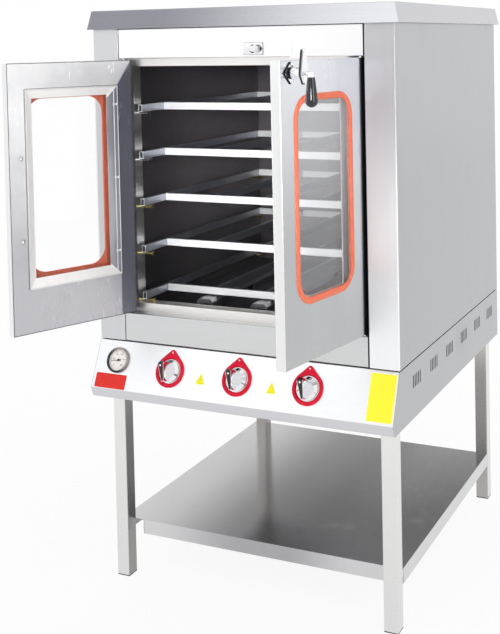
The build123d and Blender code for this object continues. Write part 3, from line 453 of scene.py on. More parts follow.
def bead_steel(side):
    """Pickled, slightly chalky glazing beads, the upright by the hinges dark and mitred like its sheet."""
    seat = DOORS[side]
    paint = Paint(f"bead_steel_{side}")
    low, high = seat.extent(f"door_{side}_beads")
    over_pane, blur = 0.010, 0.001
    inner_edge = seat.extent(f"door_{side}_glass")[0][0] + over_pane
    reach = paint.along(seat.across, seat.origin)
    height = paint.along(Z)
    upright = reach.step(inner_edge + blur, inner_edge - blur)
    top_mitre = ((height - high[1]) + (reach - low[0])).step(blur / 2, -blur / 2)
    foot_mitre = ((height - low[1]) - (reach - low[0])).step(-blur / 2, blur / 2)
    dark_variation = paint.noise(9, (1, 1, 4), detail=3).step(0.35, 0.65)
    dark = paint.blend(dark_variation, (0.20, 0.20, 0.23), (0.42, 0.42, 0.45))
    colour = paint.blend(upright * top_mitre * foot_mitre, (0.92, 0.905, 0.89), dark)
    paint.brushed(colour, "z", 0.40, 0.06)
    return paint.finish(Metallic=0.45, Specular_IOR_Level=0.2)


def rack_steel():
    """The racks: painted light, chalky white on the faces turned to the mouth, and painted shade, bluish
    grey, on the others.
    """
    paint = Paint("rack_steel")
    # Painted light on the faces turned to the mouth, painted shade on the others.
    front = paint.facing((0, -1, 0))
    paint.brushed(paint.blend(front, (0.38, 0.395, 0.45), (0.98, 0.98, 0.985)), "x", 0.40, 0.04)
    return paint.finish(Metallic=0.9 - front * 0.6, Specular_IOR_Level=0.2)


def rose_chrome():
    """The latch rose's chrome with painted reflections: its raised faces bright with a rippled painted
    reflection, the flanks between them painted almost black as a dark reflection.
    """
    paint = Paint("rose_chrome")
    # Painted reflections: bright rippled raised faces, almost black flanks.
    flat = paint.facing(RIGHT_DOOR.out, 0.72, 0.90)
    reflection_ripple = paint.noise(70, detail=1, shift=(0.2, 0.4, 0.1)).step(0.42, 0.50)
    bright = paint.blend(reflection_ripple, (0.30, 0.30, 0.33), (0.95, 0.95, 0.97))
    colour = paint.blend(flat, (0.02, 0.02, 0.025), bright)
    return paint.finish(Base_Color=colour, Metallic=1.0, Roughness=0.12 + flat * 0.08)


def side_panel_steel():
    """The cabinet's side panels: grey sides, a shade darker low down, and front posts painted paler as a
    painted highlight, the right one near white and mottled low down, greyer high up.
    """
    paint = Paint("side_panel_steel")
    low = paint.along(Z).step(1.45, 1.10)
    side = paint.blend(low, (0.50, 0.505, 0.52), (0.465, 0.47, 0.485))
    # Painted highlight: the front posts paler than the sides, the right post near white and mottled below.
    lit_posts = paint.along(Y).step(FRONT_Y + 0.0035, FRONT_Y + 0.0015)
    left = paint.along(X).step(0.0, -0.1)
    up = paint.along(Z)
    mottle = paint.noise(5.0, (1, 1, 2.5), detail=2, shift=(0.0, 0.0, 2.3)).step(0.35, 0.65)
    lower = paint.blend(mottle, (0.84, 0.845, 0.86), (0.95, 0.955, 0.97))
    right = paint.blend(up.step(1.00, 1.38), lower, (0.58, 0.575, 0.60))
    front = paint.blend(left, right, (0.66, 0.665, 0.69))
    return paint.brushed(paint.blend(lit_posts, side, front), "z", 0.30 + lit_posts * 0.14, 0.10)


def door_outer_steel(side):
    """A door's outer pan: bluish grey, with a painted reflection brightening it high up, painted shade dark
    along the hinges, and a painted highlight on its free edge.
    """
    seat = DOORS[side]
    paint = Paint(f"door_{side}_outer_steel")
    free_end = seat.extent(f"door_{side}_outer_skin")[1][0]
    reach = paint.along(seat.across, seat.origin)
    # Painted highlight: the free end face is toned bright.
    edge = reach.step(free_end - 0.0022, free_end - 0.0008)
    # Painted reflection: brighter high up.
    high = paint.along(Z).step(1.00, 1.55)
    face = paint.blend(high, (0.51, 0.515, 0.525), (0.84, 0.855, 0.905))
    # Painted shade: dark along the hinge side.
    hinge_shade = reach.step(0.016, -0.006)
    face = paint.blend(hinge_shade, face, (0.12, 0.12, 0.135))
    return paint.brushed(paint.blend(edge, face, (0.86, 0.86, 0.865)), "z", 0.24, 0.10)


def door_inner_steel():
    """The left door's inner sheet: bright high up, darker low down as a painted reflection, with a dark stile
    down the hinge side, mitred at its top.
    """
    paint = Paint("door_inner_steel")
    low, high = LEFT_DOOR.extent("door_left_inner_skin")
    bead_low, bead_high = LEFT_DOOR.extent("door_left_beads")
    reach = paint.along(LEFT_DOOR.across, LEFT_DOOR.origin)
    height = paint.along(Z)
    stile = reach.step(bead_low[0] + 0.002, bead_low[0] - 0.002)
    mitre_run, mitre_rise = bead_low[0] - low[0], high[1] - bead_high[1]
    under_mitre = ((reach - low[0]) * mitre_rise + (height - high[1]) * mitre_run).step(0.0002, -0.0002)
    clouds = paint.noise(7, (1, 1, 1), detail=4, roughness=0.6, shift=(1.1, 4.2, 0.7)).step(0.3, 0.7)
    upper = paint.blend(clouds, (0.76, 0.765, 0.80), (0.94, 0.94, 0.945))
    # Painted reflection: the sheet darker low down and bright with clouds high up.
    bright = paint.blend(height.step(0.82, 1.36), (0.52, 0.52, 0.555), upper)
    paint.brushed(paint.blend(stile * under_mitre, bright, (0.165, 0.17, 0.21)), "z", 0.25, 0.10)
    return paint.finish(Metallic=0.55, Specular_IOR_Level=0.2)


def leg_steel():
    """The legs: brushed upright, pale, with painted shade darker inside the left pair and on the fronts of
    the back pair.
    """
    paint = Paint("leg_steel")
    low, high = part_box("stand_legs")
    tube_wide = 0.040
    inner_x, rear_y = low[0] + tube_wide, high[1] - tube_wide
    across, back = paint.along(X), paint.along(Y)
    up = paint.along(Z)
    # Painted shade: darker inside the left pair, and darker and browner low down on the fronts of the back
    # pair.
    left_inner = across.step(inner_x - 0.002, inner_x - 0.0005) * across.step(0.1, -0.1)
    rear_front_shade = back.step(rear_y + 0.002, rear_y + 0.0005) * back.step(-0.1, 0.1)
    pale = paint.blend(up.step(0.0, 0.56), (0.72, 0.725, 0.72), (0.80, 0.80, 0.78))
    dark_variation = paint.blend(up.step(0.40, 0.56), (0.42, 0.40, 0.39), (0.66, 0.62, 0.58))
    colour = paint.blend(rear_front_shade, paint.blend(left_inner, pale, (0.30, 0.30, 0.295)), dark_variation)
    return paint.brushed(colour, "z", 0.28, 0.08)


def shelf_sheet():
    """The shelf: painted reflections, bright towards its two ends, with a duller, darker band across its
    middle.
    """
    paint = Paint("shelf_steel_painted_reflection")
    # Painted reflection: bright ends and a dark band across the middle.
    across = paint.along(X)
    ends = across.step(-0.04, -0.34) + across.step(0.08, 0.30) * 0.9
    return paint.brushed(paint.blend(ends, (0.40, 0.40, 0.41), (0.65, 0.65, 0.66)), "y", 0.13, 0.06)


def sooted_steel():
    """Oven lining: dull sheet, black by the mouth and low down, greyer inside, with heat tints and specks."""
    paint = Paint("sooted_lining")
    front_level, rear_level, lost_low_down = 0.055, 0.22, 0.4
    inside = paint.along(Y).step(FRONT_Y + 0.05, FRONT_Y + 0.42)
    low_down = paint.along(Z).step(1.02, 0.86)
    level = (front_level + inside * (rear_level - front_level)) * (1.0 - low_down * lost_low_down)
    clouds = paint.noise(5, detail=4, roughness=0.6)
    specks = paint.noise(160, detail=2).step(0.60, 0.72)
    tint, warm = (0.66, 0.62, 0.68), (1.0, 0.92, 0.95)
    colour = paint.vector_math("SCALE", paint.blend(clouds, tint, warm), level)
    colour = paint.blend(specks * 0.35, colour, (0.03, 0.027, 0.027))
    return paint.finish(
        Base_Color=colour, Metallic=0.45, Roughness=(0.40 + clouds * 0.2).clamped(),
        Normal=paint.dent(specks, 0.00008),
    )


def plated(name, tone, gloss=0.16):
    """A bright plated finish with faint mottling."""
    paint = Paint(name)
    mottle = paint.noise(120, detail=3)
    colour = paint.blend(mottle, tuple(0.88 * c for c in tone), tone)
    return paint.finish(
        Base_Color=colour, Metallic=1.0, Roughness=(gloss + (mottle - 0.5) * 0.08).clamped(),
        Normal=paint.dent(mottle, 0.00002),
    )


def plastic(name, tone, gloss=0.3, peel_depth=0.00004, peel_scale=700, shine=0.5):
    """Moulded plastic or rubber: even colour, fine orange-peel and slightly paler rubbed places."""
    paint = Paint(name)
    peel = paint.noise(peel_scale, detail=2)
    rubbed = paint.noise(40, detail=3).step(0.5, 0.75)
    pale = tuple(min(1.0, c * 1.12 + 0.01) for c in tone)
    return paint.finish(
        Base_Color=paint.blend(rubbed, tone, pale), Roughness=(gloss + rubbed * 0.08).clamped(),
        Normal=paint.dent(peel, peel_depth), Specular_IOR_Level=shine,
    )


def clouded_coat(name, tone, pale, cloud_scale, gloss, shine, depth):
    """Enamel or film in two near tones that run into each other as soft clouds."""
    paint = Paint(name)
    cloud = paint.noise(cloud_scale, detail=3)
    return paint.finish(
        Base_Color=paint.blend(cloud, tone, pale), Roughness=gloss, Specular_IOR_Level=shine,
        Normal=paint.dent(cloud, depth),
    )


def sticker_film(name, tone):
    """A plain sticker's film, up to 6 percent paler in its clouds."""
    return clouded_coat(name, tone, tuple(min(1.0, 1.06 * c) for c in tone), 35, 0.45, 0.1, 0.00001)


def clear_glass():
    """Clear glass with faint streaks of haze, in panes so thin that they hardly bend the light."""
    paint = Paint("clear_glass")
    haze = paint.noise(14, (1, 1, 3), detail=4).step(0.45, 0.8)
    return paint.finish(
        Base_Color=(0.998, 1.0, 0.999), Roughness=haze * 0.01, Alpha=0.35, **THIN_PANE,
    )


def veiled_glass():
    """The right door's glass: a film of dried grease and wiping marks, thick at the top, thin below."""
    paint = Paint("veiled_glass")
    wiped = paint.noise(11, (1, 1, 2.5), detail=4, roughness=0.6)
    film = 0.03 + paint.along(Z).step(1.02, 1.34) * 0.08 + (wiped - 0.5) * 0.03
    paint.finish(Base_Color=(0.97, 0.98, 0.985), Roughness=wiped * 0.02, **THIN_PANE)
    veil = paint.node("ShaderNodeBsdfDiffuse", None, {"Color": (0.97, 0.97, 1.0)})
    return paint.covered(veil, film.clamped())


def lever_plating():
    """The lever's chrome: its flat arm's edge on the free side is painted dark and dull, a painted dark
    reflection.
    """
    paint = Paint("lever_chrome")
    out = paint.along(RIGHT_DOOR.out, RIGHT_DOOR.origin)
    on_arm = out.step(0.0395, 0.0405) * out.step(0.0485, 0.0475)
    # Painted reflection: the arm's edge on the free side is toned dark.
    dark_reflection_edge = paint.facing(RIGHT_DOOR.across, 0.60, 0.80) * on_arm
    mottle = paint.noise(150, detail=3)
    bright = paint.blend(mottle, (0.90, 0.90, 0.92), (0.97, 0.97, 0.98))
    colour = paint.blend(dark_reflection_edge, bright, (0.05, 0.05, 0.055))
    return paint.finish(Base_Color=colour, Metallic=1.0, Roughness=0.10 + dark_reflection_edge * 0.3)


def rim_metal():
    """The thermometer's rim: blackened, painted lighter grey-brown towards its upper right as painted light.
    """
    paint = Paint("rim_metal")
    centre = PANEL.at(*[(a + b) / 2 for a, b in zip(*PANEL.extent("thermometer_case"))])
    upper_right = 0.80 * PANEL.across + 0.60 * PANEL.up
    # Painted light: lighter towards the upper right.
    lit_side = paint.along(upper_right, centre).step(-0.012, 0.020)
    return paint.finish(
        Base_Color=paint.blend(lit_side, (0.035, 0.037, 0.042), (0.34, 0.31, 0.285)), Metallic=0.8,
        Roughness=0.30 + (paint.noise(300) - 0.5) * 0.1,
    )


def mineral_wool():
    """Packed yellow-brown wool."""
    paint = Paint("mineral_wool")
    fibres = paint.noise(260, (6, 1, 1), detail=5)
    return paint.finish(
        Base_Color=paint.blend(fibres, (0.34, 0.27, 0.12), (0.60, 0.52, 0.27)), Roughness=0.95,
        Normal=paint.dent(fibres, 0.002),
    )


THIN_PANE = {"IOR": 1.02, "Transmission_Weight": 1.0, "Coat_Weight": 0.5, "Coat_Roughness": 0.02}
zinc = plated("zinc_plating", (0.78, 0.78, 0.77))
bright_wire = plated("bright_wire", (0.97, 0.97, 0.98), 0.40)
yellow_zinc = plated("yellow_zinc", (0.80, 0.68, 0.28), 0.25)
black_gloss = plastic("black_gloss", (0.010, 0.010, 0.014), 0.10, shine=0.55)
black_matt = plastic("black_plug", (0.03, 0.03, 0.03), 0.5)
orange_rubber = plastic("orange_rubber", (0.66, 0.150, 0.080), 0.45, 0.00006, 500, shine=0.25)
white_dot = plastic("white_dot", (0.9, 0.9, 0.9), 0.4)
dial_black = plastic("dial_black", (0.01, 0.01, 0.01), 0.4)
rim_finish = rim_metal()

FINISHED_NODES = (
    (leg_steel(), "stand_legs"),
    (black_matt, "leg_plugs"),
    (shelf_sheet(), "stand_shelf"),
    (plain_steel("base_side_steel", "y", (0.475, 0.48, 0.49), cloud=0.08), "base_side_left base_side_right"),
    # The base pan's steel is toned dark as painted shade.
    (plain_steel("pan_steel_painted_shade", "x", (0.22, 0.22, 0.225), 0.45), "base_pan"),
    (panel_steel(), "control_panel"),
    (plated("cast_brass", (0.72, 0.55, 0.26), 0.35), "gas_taps"),
    (plastic("red_plastic", (0.66, 0.008, 0.035), 0.22, shine=0.12), "knob_bezels"),
    (plated("chrome_plating", (0.90, 0.90, 0.92), 0.05), "knob_left knob_middle knob_right latch_keeper"),
    (black_gloss, "knob_insert_left knob_insert_middle knob_insert_right latch_grip door_left_pull"),
    (rim_finish, "thermometer_case"),
    (plastic("dial_cream", (0.93, 0.88, 0.84), 0.5), "thermometer_dial"),
    (dial_black, "thermometer_needle"),
    (clear_glass(), "thermometer_glass door_left_glass"),
    (veiled_glass(), "door_right_glass"),
    (side_panel_steel(), "side_panel_left side_panel_right"),
    # The fascia's steel is toned near white as a painted highlight.
    (plain_steel("fascia_steel_painted_highlight", "x", (0.94, 0.94, 0.945), 0.32, 0.03), "fascia"),
    (plain_steel("lower_front_steel", "x", (0.66, 0.665, 0.67), 0.30, 0.06), "lower_front_panel"),
    (hood_steel(), "hood"),
    (plain_steel("rear_steel", "z", (0.55, 0.555, 0.57)), "back_panel flue cabinet_top"),
    (sooted_steel(), "oven_side_left oven_side_right oven_back oven_roof oven_floor burner_tubes"),
    (mouth_frame_steel(), "mouth_frame"),
    (mineral_wool(), "insulation"),
    (zinc, "gas_manifold hinge_pins rack_bolts_upper"),
    (yellow_zinc, "rack_bolts_lower"),
    (rack_steel(), "rack_1 rack_2 rack_3 rack_4 rack_5"),
    (plain_steel("spreader_steel", "y", (0.40, 0.40, 0.42), 0.40, 0.15), "flame_spreaders"),
    (rose_chrome(), "latch_rose"),
    (lever_plating(), "latch_lever"),
    (orange_rubber, "door_left_gasket door_right_gasket"),
    (door_inner_steel(), "door_left_inner_skin"),
    (plain_steel("door_right_inner_steel", "z", (0.95, 0.95, 0.96), 0.70), "door_right_inner_skin"),
    *((door_outer_steel(side), f"door_{side}_outer_skin") for side in SIDES),
    *((bead_steel(side), f"door_{side}_beads") for side in SIDES),
)
for finish, nodes in FINISHED_NODES:
    for node in nodes.split():
        mesh = frame["nodes"][node].data
        mesh.materials.clear()
        mesh.materials.append(finish)


# Doors


def glazing_rubber(side):
    """The orange rubber round a window: a crowned front lip and a plain rear one, gripping sheet and pane.

    Its section runs round the rounded window outline. Over the lip's width u from -1 to 1 the front stands
    proud by the crown times 0.2 + 0.8 (1 - |u|^3).
    """
    seat = DOORS[side]
    low, high = seat.extent(f"door_{side}_gasket")
    edge, half, corner, rear_corner = 1.5 * MM, 8 * MM, 62 * MM, 24 * MM
    face, rear, behind_lip = 6 * MM, low[2], 1.2 * MM
    wide, tall, crown = high[0] - low[0], high[1] - low[1], high[2] - face
    across = np.linspace(-1, 1, 11)
    section = [(edge + half + half * u, face + crown * (0.20 + 0.80 * (1 - abs(u) ** 3))) for u in across]
    section += [(edge + 2 * half, rear), (edge + half, rear), (edge, rear), (edge, face - behind_lip)]
    outlines = [
        rounded_box(wide, tall, corner if out > 2 * MM else rear_corner, inset, 12) for inset, out in section
    ]
    shape = layered(seat.middle_of(low, high), outlines, [out for _, out in section], ring=True)
    piece = make_piece(f"door_{side}_glazing_rubber", shape, orange_rubber, f"door_{side}")
    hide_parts(f"door_{side}_gasket")


def screw_head(seat, radius, rise):
    """A low domed screw head with a washer ring under it, standing on the seat."""
    washer = layered(seat, [circle(1.35 * radius, 20), circle(1.3 * radius, 20)], [0.0, 0.25 * rise])
    return joined(washer, dome(seat, radius, rise, 20))


def inside_of(side):
    """A door's frame seen from the room side: reach, height, and out of its inner face."""
    seat = DOORS[side]
    return Seat(seat.origin, seat.across, seat.up, -seat.out)


def ring_roll(seat, low, high, corner, inset, radius, sides=8):
    """A round wire bent round a rectangle: a circle of points carried along the rounded outline."""
    wide, tall = high[0] - low[0], high[1] - low[1]
    turn = full_turn(sides)
    outlines = [rounded_box(wide, tall, corner, inset + radius * math.cos(t), 3) for t in turn]
    return layered(seat.middle_of(low, high), outlines, [radius * math.sin(t) for t in turn], ring=True)


def bead_trim(side):
    """Bright rolled edges on the glazing beads: one all round, and one down the hinge side's middle."""
    inner = inside_of(side)
    low, high = inner.extent(f"door_{side}_beads")
    corner, inset, wire, line_in = 3 * MM, 1.6 * MM, 1.2 * MM, 13 * MM
    face = inner.moved(w=high[2] - 0.4 * MM)
    around = ring_roll(face, low, high, corner, inset, wire)
    aslant = np.array((-0.17, 0.31, 0.0)) / math.hypot(0.17, 0.31)
    line = Seat(face.at(low[0] + line_in, 0.0, 0.0), aslant, np.cross(Z, aslant), Z)
    down = layered(line, [circle(wire, 8)] * 5, np.linspace(low[1] + line_in, high[1] - line_in, 5))
    make_piece(f"door_{side}_bead_rolls", joined(around, down), bright_wire, f"door_{side}")


def dark_seams(side):
    """A dark hairline joint round the inner sheet's edge, and a dark painted shadow line round the glazing
    beads' feet.
    """
    inner = inside_of(side)
    sheet_low, sheet_high = inner.extent(f"door_{side}_inner_skin")
    low, high = inner.extent(f"door_{side}_beads")
    at_sheet = inner.moved(w=sheet_high[2])
    edge = ring_roll(at_sheet, sheet_low, sheet_high, 2 * MM, 0.9 * MM, 0.9 * MM, 6)
    # Painted shadow line: a dark ring round the beads' feet.
    foot = ring_roll(at_sheet, low - 1.2 * MM, high + 1.2 * MM, 3 * MM, 0.6 * MM, 0.8 * MM, 6)
    make_piece(f"door_{side}_seams_and_bead_shadows", joined(edge, foot), black_matt, f"door_{side}")


def door_screws(side):
    """Dome-headed screws in the glazing beads: two along top and bottom, pairs down the hinge side."""
    inner = inside_of(side)
    low, high = inner.extent(f"door_{side}_beads")
    edge, reaches, pair_heights, pair_ways = 3.5 * MM, (98, 254), (952, 1154, 1355), (5, 13)
    places = [(reach * MM, row) for row in (low[1] + edge, high[1] - edge) for reach in reaches]
    places += [(low[0] + way * MM, height * MM) for height in pair_heights for way in pair_ways]
    shapes = [screw_head(inner.moved(u, v, high[2] - 0.2 * MM), 2.6 * MM, 2.0 * MM) for u, v in places]
    make_piece(f"door_{side}_bead_screws", joined(*shapes), bright_wire, f"door_{side}")


def pull_bolts():
    """The pull's two through bolts, their domed heads on washers on the left door's inner sheet."""
    inner = inside_of("left")
    sheet = inner.extent("door_left_inner_skin")[1][2]
    middle = inner.middle_of(*inner.extent("door_left_pull"), sheet)
    half_apart = 107.5 * MM
    shapes = [screw_head(middle.moved(v=d), 5.5 * MM, 4.0 * MM) for d in (-half_apart, half_apart)]
    make_piece("door_left_pull_bolts", joined(*shapes), zinc, "door_left")


for side in SIDES:
    glazing_rubber(side)
    dark_seams(side)
    bead_trim(side)
    door_screws(side)
pull_bolts()


# Panel


def badge_plate():
    """The bare red plate: round-cornered, its rim eased."""
    wide, tall, corner, thick = 99 * MM, 39.5 * MM, 4 * MM, 1.2 * MM
    seat = PANEL.moved(-390 * MM, -111 * MM, STUCK_OUT)
    insets = (0.0, 0.0, 0.25 * MM, 0.7 * MM)
    heights = (0.0, 0.7 * thick, 0.93 * thick, thick)
    outlines = [rounded_box(wide, tall, corner, inset) for inset in insets]
    finish = clouded_coat("plate_red", (0.72, 0.030, 0.022), (0.80, 0.045, 0.032), 60, 0.32, 0.15, 0.00002)
    make_piece("red_plate", layered(seat, outlines, heights), finish, "cabinet")


def yellow_label():
    """The plain yellow label on a pale-edged backing at the panel's right end."""
    seat = PANEL.moved(410 * MM, -66.5 * MM, STUCK_OUT)
    wide, tall, border, eased = 68 * MM, 117 * MM, 4 * MM, 0.1 * MM
    backing = [rounded_box(wide + border, tall + border, 2 * MM, inset) for inset in (0.0, eased)]
    face = [rounded_box(wide, tall, 1 * MM, inset) for inset in (0.0, eased)]
    pale = sticker_film("label_border", (0.88, 0.87, 0.66))
    yellow = sticker_film("label_yellow", (0.97, 0.89, 0.05))
    under = layered(seat, backing, [0, 0.25 * MM])
    make_piece("yellow_label_backing", under, pale, "cabinet")
    over = layered(seat.moved(w=0.26 * MM), face, [0, 0.2 * MM])
    make_piece("yellow_label", over, yellow, "cabinet")


def yellow_markers():
    """Two small plain yellow three-cornered stickers between the knobs."""
    wide, tall, down = 28 * MM, 30 * MM, 75 * MM
    corners = [(-wide / 2, -tall / 2), (wide / 2, -tall / 2), (0.0, tall / 2)]
    outlines = [rounded_corners(corners, 2.0 * MM, inset) for inset in (0.0, 0.15 * MM)]
    shapes = [
        layered(PANEL.moved(x, -down, STUCK_OUT), outlines, [0, 0.3 * MM]) for x in (-109 * MM, 104 * MM)
    ]
    yellow = sticker_film("marker_yellow", (0.88, 0.80, 0.02))
    make_piece("yellow_markers", joined(*shapes), yellow, "cabinet")


def dial_seat():
    """The thermometer's frame, its origin on the dial's face."""
    low, high = PANEL.extent("thermometer_dial")
    return PANEL.middle_of(low, high, high[2])


def dial_turn(share):
    """The dial's angle at a share of the way from its first mark to its last, in radians."""
    return math.radians(DIAL_FIRST + (DIAL_LAST - DIAL_FIRST) * share)


def dial_marks():
    """Ticks round the dial, long at every fifth, from lower left round the top to lower right."""
    seat = dial_seat()
    ticks, outer, line, thick = 26, 25.5 * MM, 0.3 * MM, 0.12 * MM
    shapes = []
    for index in range(ticks):
        long = index % 5 == 0
        turn = dial_turn(index / (ticks - 1))
        inner = (22.0 if long else 23.8) * MM
        half = (0.45 if long else 0.25) * MM
        reach = (outer + inner) / 2
        middle = seat.moved(math.cos(turn) * reach, math.sin(turn) * reach)
        outline = rounded_box(outer - inner, 2 * half, 0.1 * MM, steps=1)
        shapes.append(layered(middle.turned(math.degrees(turn)), [outline, outline], [0.0, thick]))
    sweep = np.radians(np.linspace(DIAL_FIRST, DIAL_LAST, 60))
    band = np.concatenate((arc(outer, sweep), arc(outer - line, sweep)[::-1]))
    shapes.append(layered(seat, [band, band], [0.0, thick]))
    make_piece("thermometer_scale", joined(*shapes), dial_black, "cabinet")


def dial_numbers():
    """Plain numbers inside the ticks, 0 to 250 in steps of 50, as thin raised figures."""
    seat = dial_seat()
    radius, tall, half_thick = 17.5 * MM, 5.2 * MM, 0.06 * MM
    shapes = []
    for index, amount in enumerate(range(0, 300, 50)):
        turn = dial_turn(index / 5)
        curve = bpy.data.curves.new(f"figure_{amount}", "FONT")
        curve.body = str(amount)
        curve.size = tall
        curve.align_x, curve.align_y = "CENTER", "CENTER"
        curve.extrude = half_thick
        holder = into_scene(curve.name, curve)
        bpy.context.view_layer.update()
        mesh = bpy.data.meshes.new_from_object(holder.evaluated_get(bpy.context.evaluated_depsgraph_get()))
        local = np.array([tuple(vertex.co) for vertex in mesh.vertices])
        middle = seat.moved(radius * math.cos(turn), radius * math.sin(turn), half_thick)
        points = middle.at(local[:, 0], local[:, 1], local[:, 2])
        shapes.append((points, [list(polygon.vertices) for polygon in mesh.polygons]))
        bpy.data.objects.remove(holder)
        bpy.data.curves.remove(curve)
        bpy.data.meshes.remove(mesh)
    make_piece("thermometer_figures", joined(*shapes), dial_black, "cabinet")


def needle_hub():
    """The needle's turned hub cap and its broad tail, riding with the needle."""
    joint = joint_named("thermometer_needle_turn")
    seat = Seat(joint["pos_m"], PANEL.across, PANEL.up, PANEL.out)
    top = seat.extent("thermometer_needle")[1][2]
    cap = dome(seat.moved(w=top), 3.4 * MM, 0.7 * MM, 24)
    start, end, half_neck, half_wide, tail_turn = -1 * MM, -7.5 * MM, 1.2 * MM, 2.6 * MM, 190
    corners = [(end, -half_wide), (start, -half_neck), (start, half_neck), (end, half_wide)]
    tail = rounded_corners(corners, 0.4 * MM, steps=2)
    flag = layered(seat.turned(tail_turn).moved(w=top - 0.6 * MM), [tail, tail], [0.0, 0.5 * MM])
    make_piece("thermometer_needle_cap", joined(cap, flag), dial_black, "needle")


def dial_rim():
    """The thermometer's rolled rim: an ellipse of points, 2.2 mm by 1.8 mm, carried round the dial."""
    low, high = PANEL.extent("thermometer_case")
    outer = (high[0] - low[0]) / 2
    rim, lift = 2.2 * MM, high[2] - 1.2 * MM
    turn = full_turn(14)
    outlines = [circle(outer - rim + rim * math.cos(t), 64) for t in turn]
    heights = [lift + rim * 0.8 * math.sin(t) for t in turn]
    shape = layered(PANEL.middle_of(low, high), outlines, heights, ring=True)
    make_piece("thermometer_rim", shape, rim_finish, "cabinet")


def knob_seat(name):
    """A knob's pointer frame: origin on its stem, up along the pointer, out along the stem."""
    joint = joint_named(f"knob_{name}_turn")
    return Seat(joint["pos_m"], PANEL.across, PANEL.up, PANEL.out).turned(KNOB_REST_TURN)


def knob_strips():
    """The black strip let into each knob's fin, its head rounded and bent over the fin's end.

    In plan it is two circles joined by their tangents. Its height over the stem is the fin's slope up to
    the crest, and 7 in 10 down past it.
    """
    head_at, head, tail_at, tail = 11.5 * MM, 6.9 * MM, -27.0 * MM, 2.8 * MM
    past_crest = 0.7
    tilt = math.asin((head - tail) / (head_at - tail_at))
    top = np.linspace(tilt, math.pi - tilt, 15)
    foot = np.linspace(math.pi - tilt, 2 * math.pi + tilt, 9)
    run = np.linspace(0, 1, 6)[1:-1, None]
    head_arc = arc(head, top) + (0.0, head_at)
    tail_arc = arc(tail, foot) + (0.0, tail_at)
    down = head_arc[-1] + run * (tail_arc[0] - head_arc[-1])
    back = tail_arc[-1] + run * (head_arc[0] - tail_arc[-1])
    plan = np.concatenate((head_arc, down, tail_arc, back))
    spine = np.stack((np.zeros(len(plan)), np.clip(plan[:, 1], tail_at, head_at)), axis=-1)
    shrink = (0.0, 0.0, 0.08, 0.45, 0.96)
    lifts = (-1.2 * MM, 0.7 * STRIP_LIFT, STRIP_LIFT, STRIP_LIFT, STRIP_LIFT)
    outlines = np.array([plan + (spine - plan) * part for part in shrink])
    beyond = outlines[..., 1] - FIN_CREST
    slope = np.where(beyond < 0, beyond * FIN_SLOPE, -beyond * past_crest)
    heights = FIN_CREST_OUT + slope + np.array(lifts)[:, None]
    for name in KNOBS:
        strip = layered(knob_seat(name), outlines, heights)
        piece = make_piece(f"knob_strip_{name}", strip, black_gloss, f"knob_{name}")
        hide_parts(f"knob_insert_{name}")


def knob_dots():
    """A white dot near the head of each knob's black strip."""
    slope, along = math.atan(FIN_SLOPE), 9.5 * MM
    face = FIN_CREST_OUT + (along - FIN_CREST) * FIN_SLOPE + STRIP_LIFT
    for name in KNOBS:
        turned = knob_seat(name)
        up = math.cos(slope) * turned.up + math.sin(slope) * turned.out
        out = math.cos(slope) * turned.out - math.sin(slope) * turned.up
        seat = Seat(turned.at(0, along, face), turned.across, up, out)
        shape = dome(seat, 2.6 * MM, 0.5 * MM, 24, skirt=0.6 * MM)
        make_piece(f"knob_dot_{name}", shape, white_dot, f"knob_{name}")


def bezel_rivets():
    """A pale rivet head in the hole at each bezel's tip."""
    high = PANEL.extent("knob_bezels")[1]
    below_tip, sunk = 7.5 * MM, 1.0 * MM
    shapes = []
    for name in KNOBS:
        stem = np.array(joint_named(f"knob_{name}_turn")["pos_m"]) - PANEL.origin
        seat = PANEL.moved(float(stem @ PANEL.across), high[1] - below_tip, high[2] - sunk)
        shapes.append(dome(seat, 2.3 * MM, 1.2 * MM, 20, skirt=sunk))
    make_piece("bezel_rivets", joined(*shapes), white_dot, "cabinet")


STUCK_OUT = 0.05 * MM
DIAL_FIRST, DIAL_LAST = 225.0, -45.0
KNOB_REST_TURN = 9
FIN_CREST, FIN_CREST_OUT, FIN_SLOPE = 14 * MM, 48 * MM, 16 / 45
STRIP_LIFT = 1.7 * MM

badge_plate()
yellow_label()
yellow_markers()
dial_marks()
dial_numbers()
needle_hub()
dial_rim()
knob_strips()
knob_dots()
bezel_rivets()


# Latch


def latch_grip():
    """The grip: a black turning that widens downward and ends in a half round with a dimple.

    Its radius grows with the way down to the power 0.8, from 8.4 mm to 14.4 mm, then follows a circle.
    """
    low, high = RIGHT_DOOR.extent("latch_grip")
    centre = (low + high) / 2
    top, slim, stout, long = high[1], 8.4 * MM, 14.4 * MM, 67 * MM
    down = np.linspace(0, 1, 9)
    radii = list(slim + (stout - slim) * down ** 0.8)
    levels = list(top - (long - stout) * down)
    round_off = np.linspace(0, np.pi / 2, 8)[1:-1]
    radii += list(stout * np.cos(round_off))
    levels += list(top - (long - stout) - stout * np.sin(round_off))
    radii += [0.20 * stout, 0.16 * stout, 0.02 * stout]
    levels += [top - long + 0.1 * MM, top - long + 1.6 * MM, top - long + 2.2 * MM]
    radii = [0.55 * slim, 0.88 * slim, *radii]
    levels = [top + 0.9 * MM, top + 0.8 * MM, *levels]
    seat = Seat(RIGHT_DOOR.at(centre[0], 0.0, centre[2]), RIGHT_DOOR.across, RIGHT_DOOR.out, Z)
    shape = layered(seat, [circle(radius, 36) for radius in radii], levels)
    piece = make_piece("latch_handle_grip", shape, black_gloss, "latch")
    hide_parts("latch_grip")


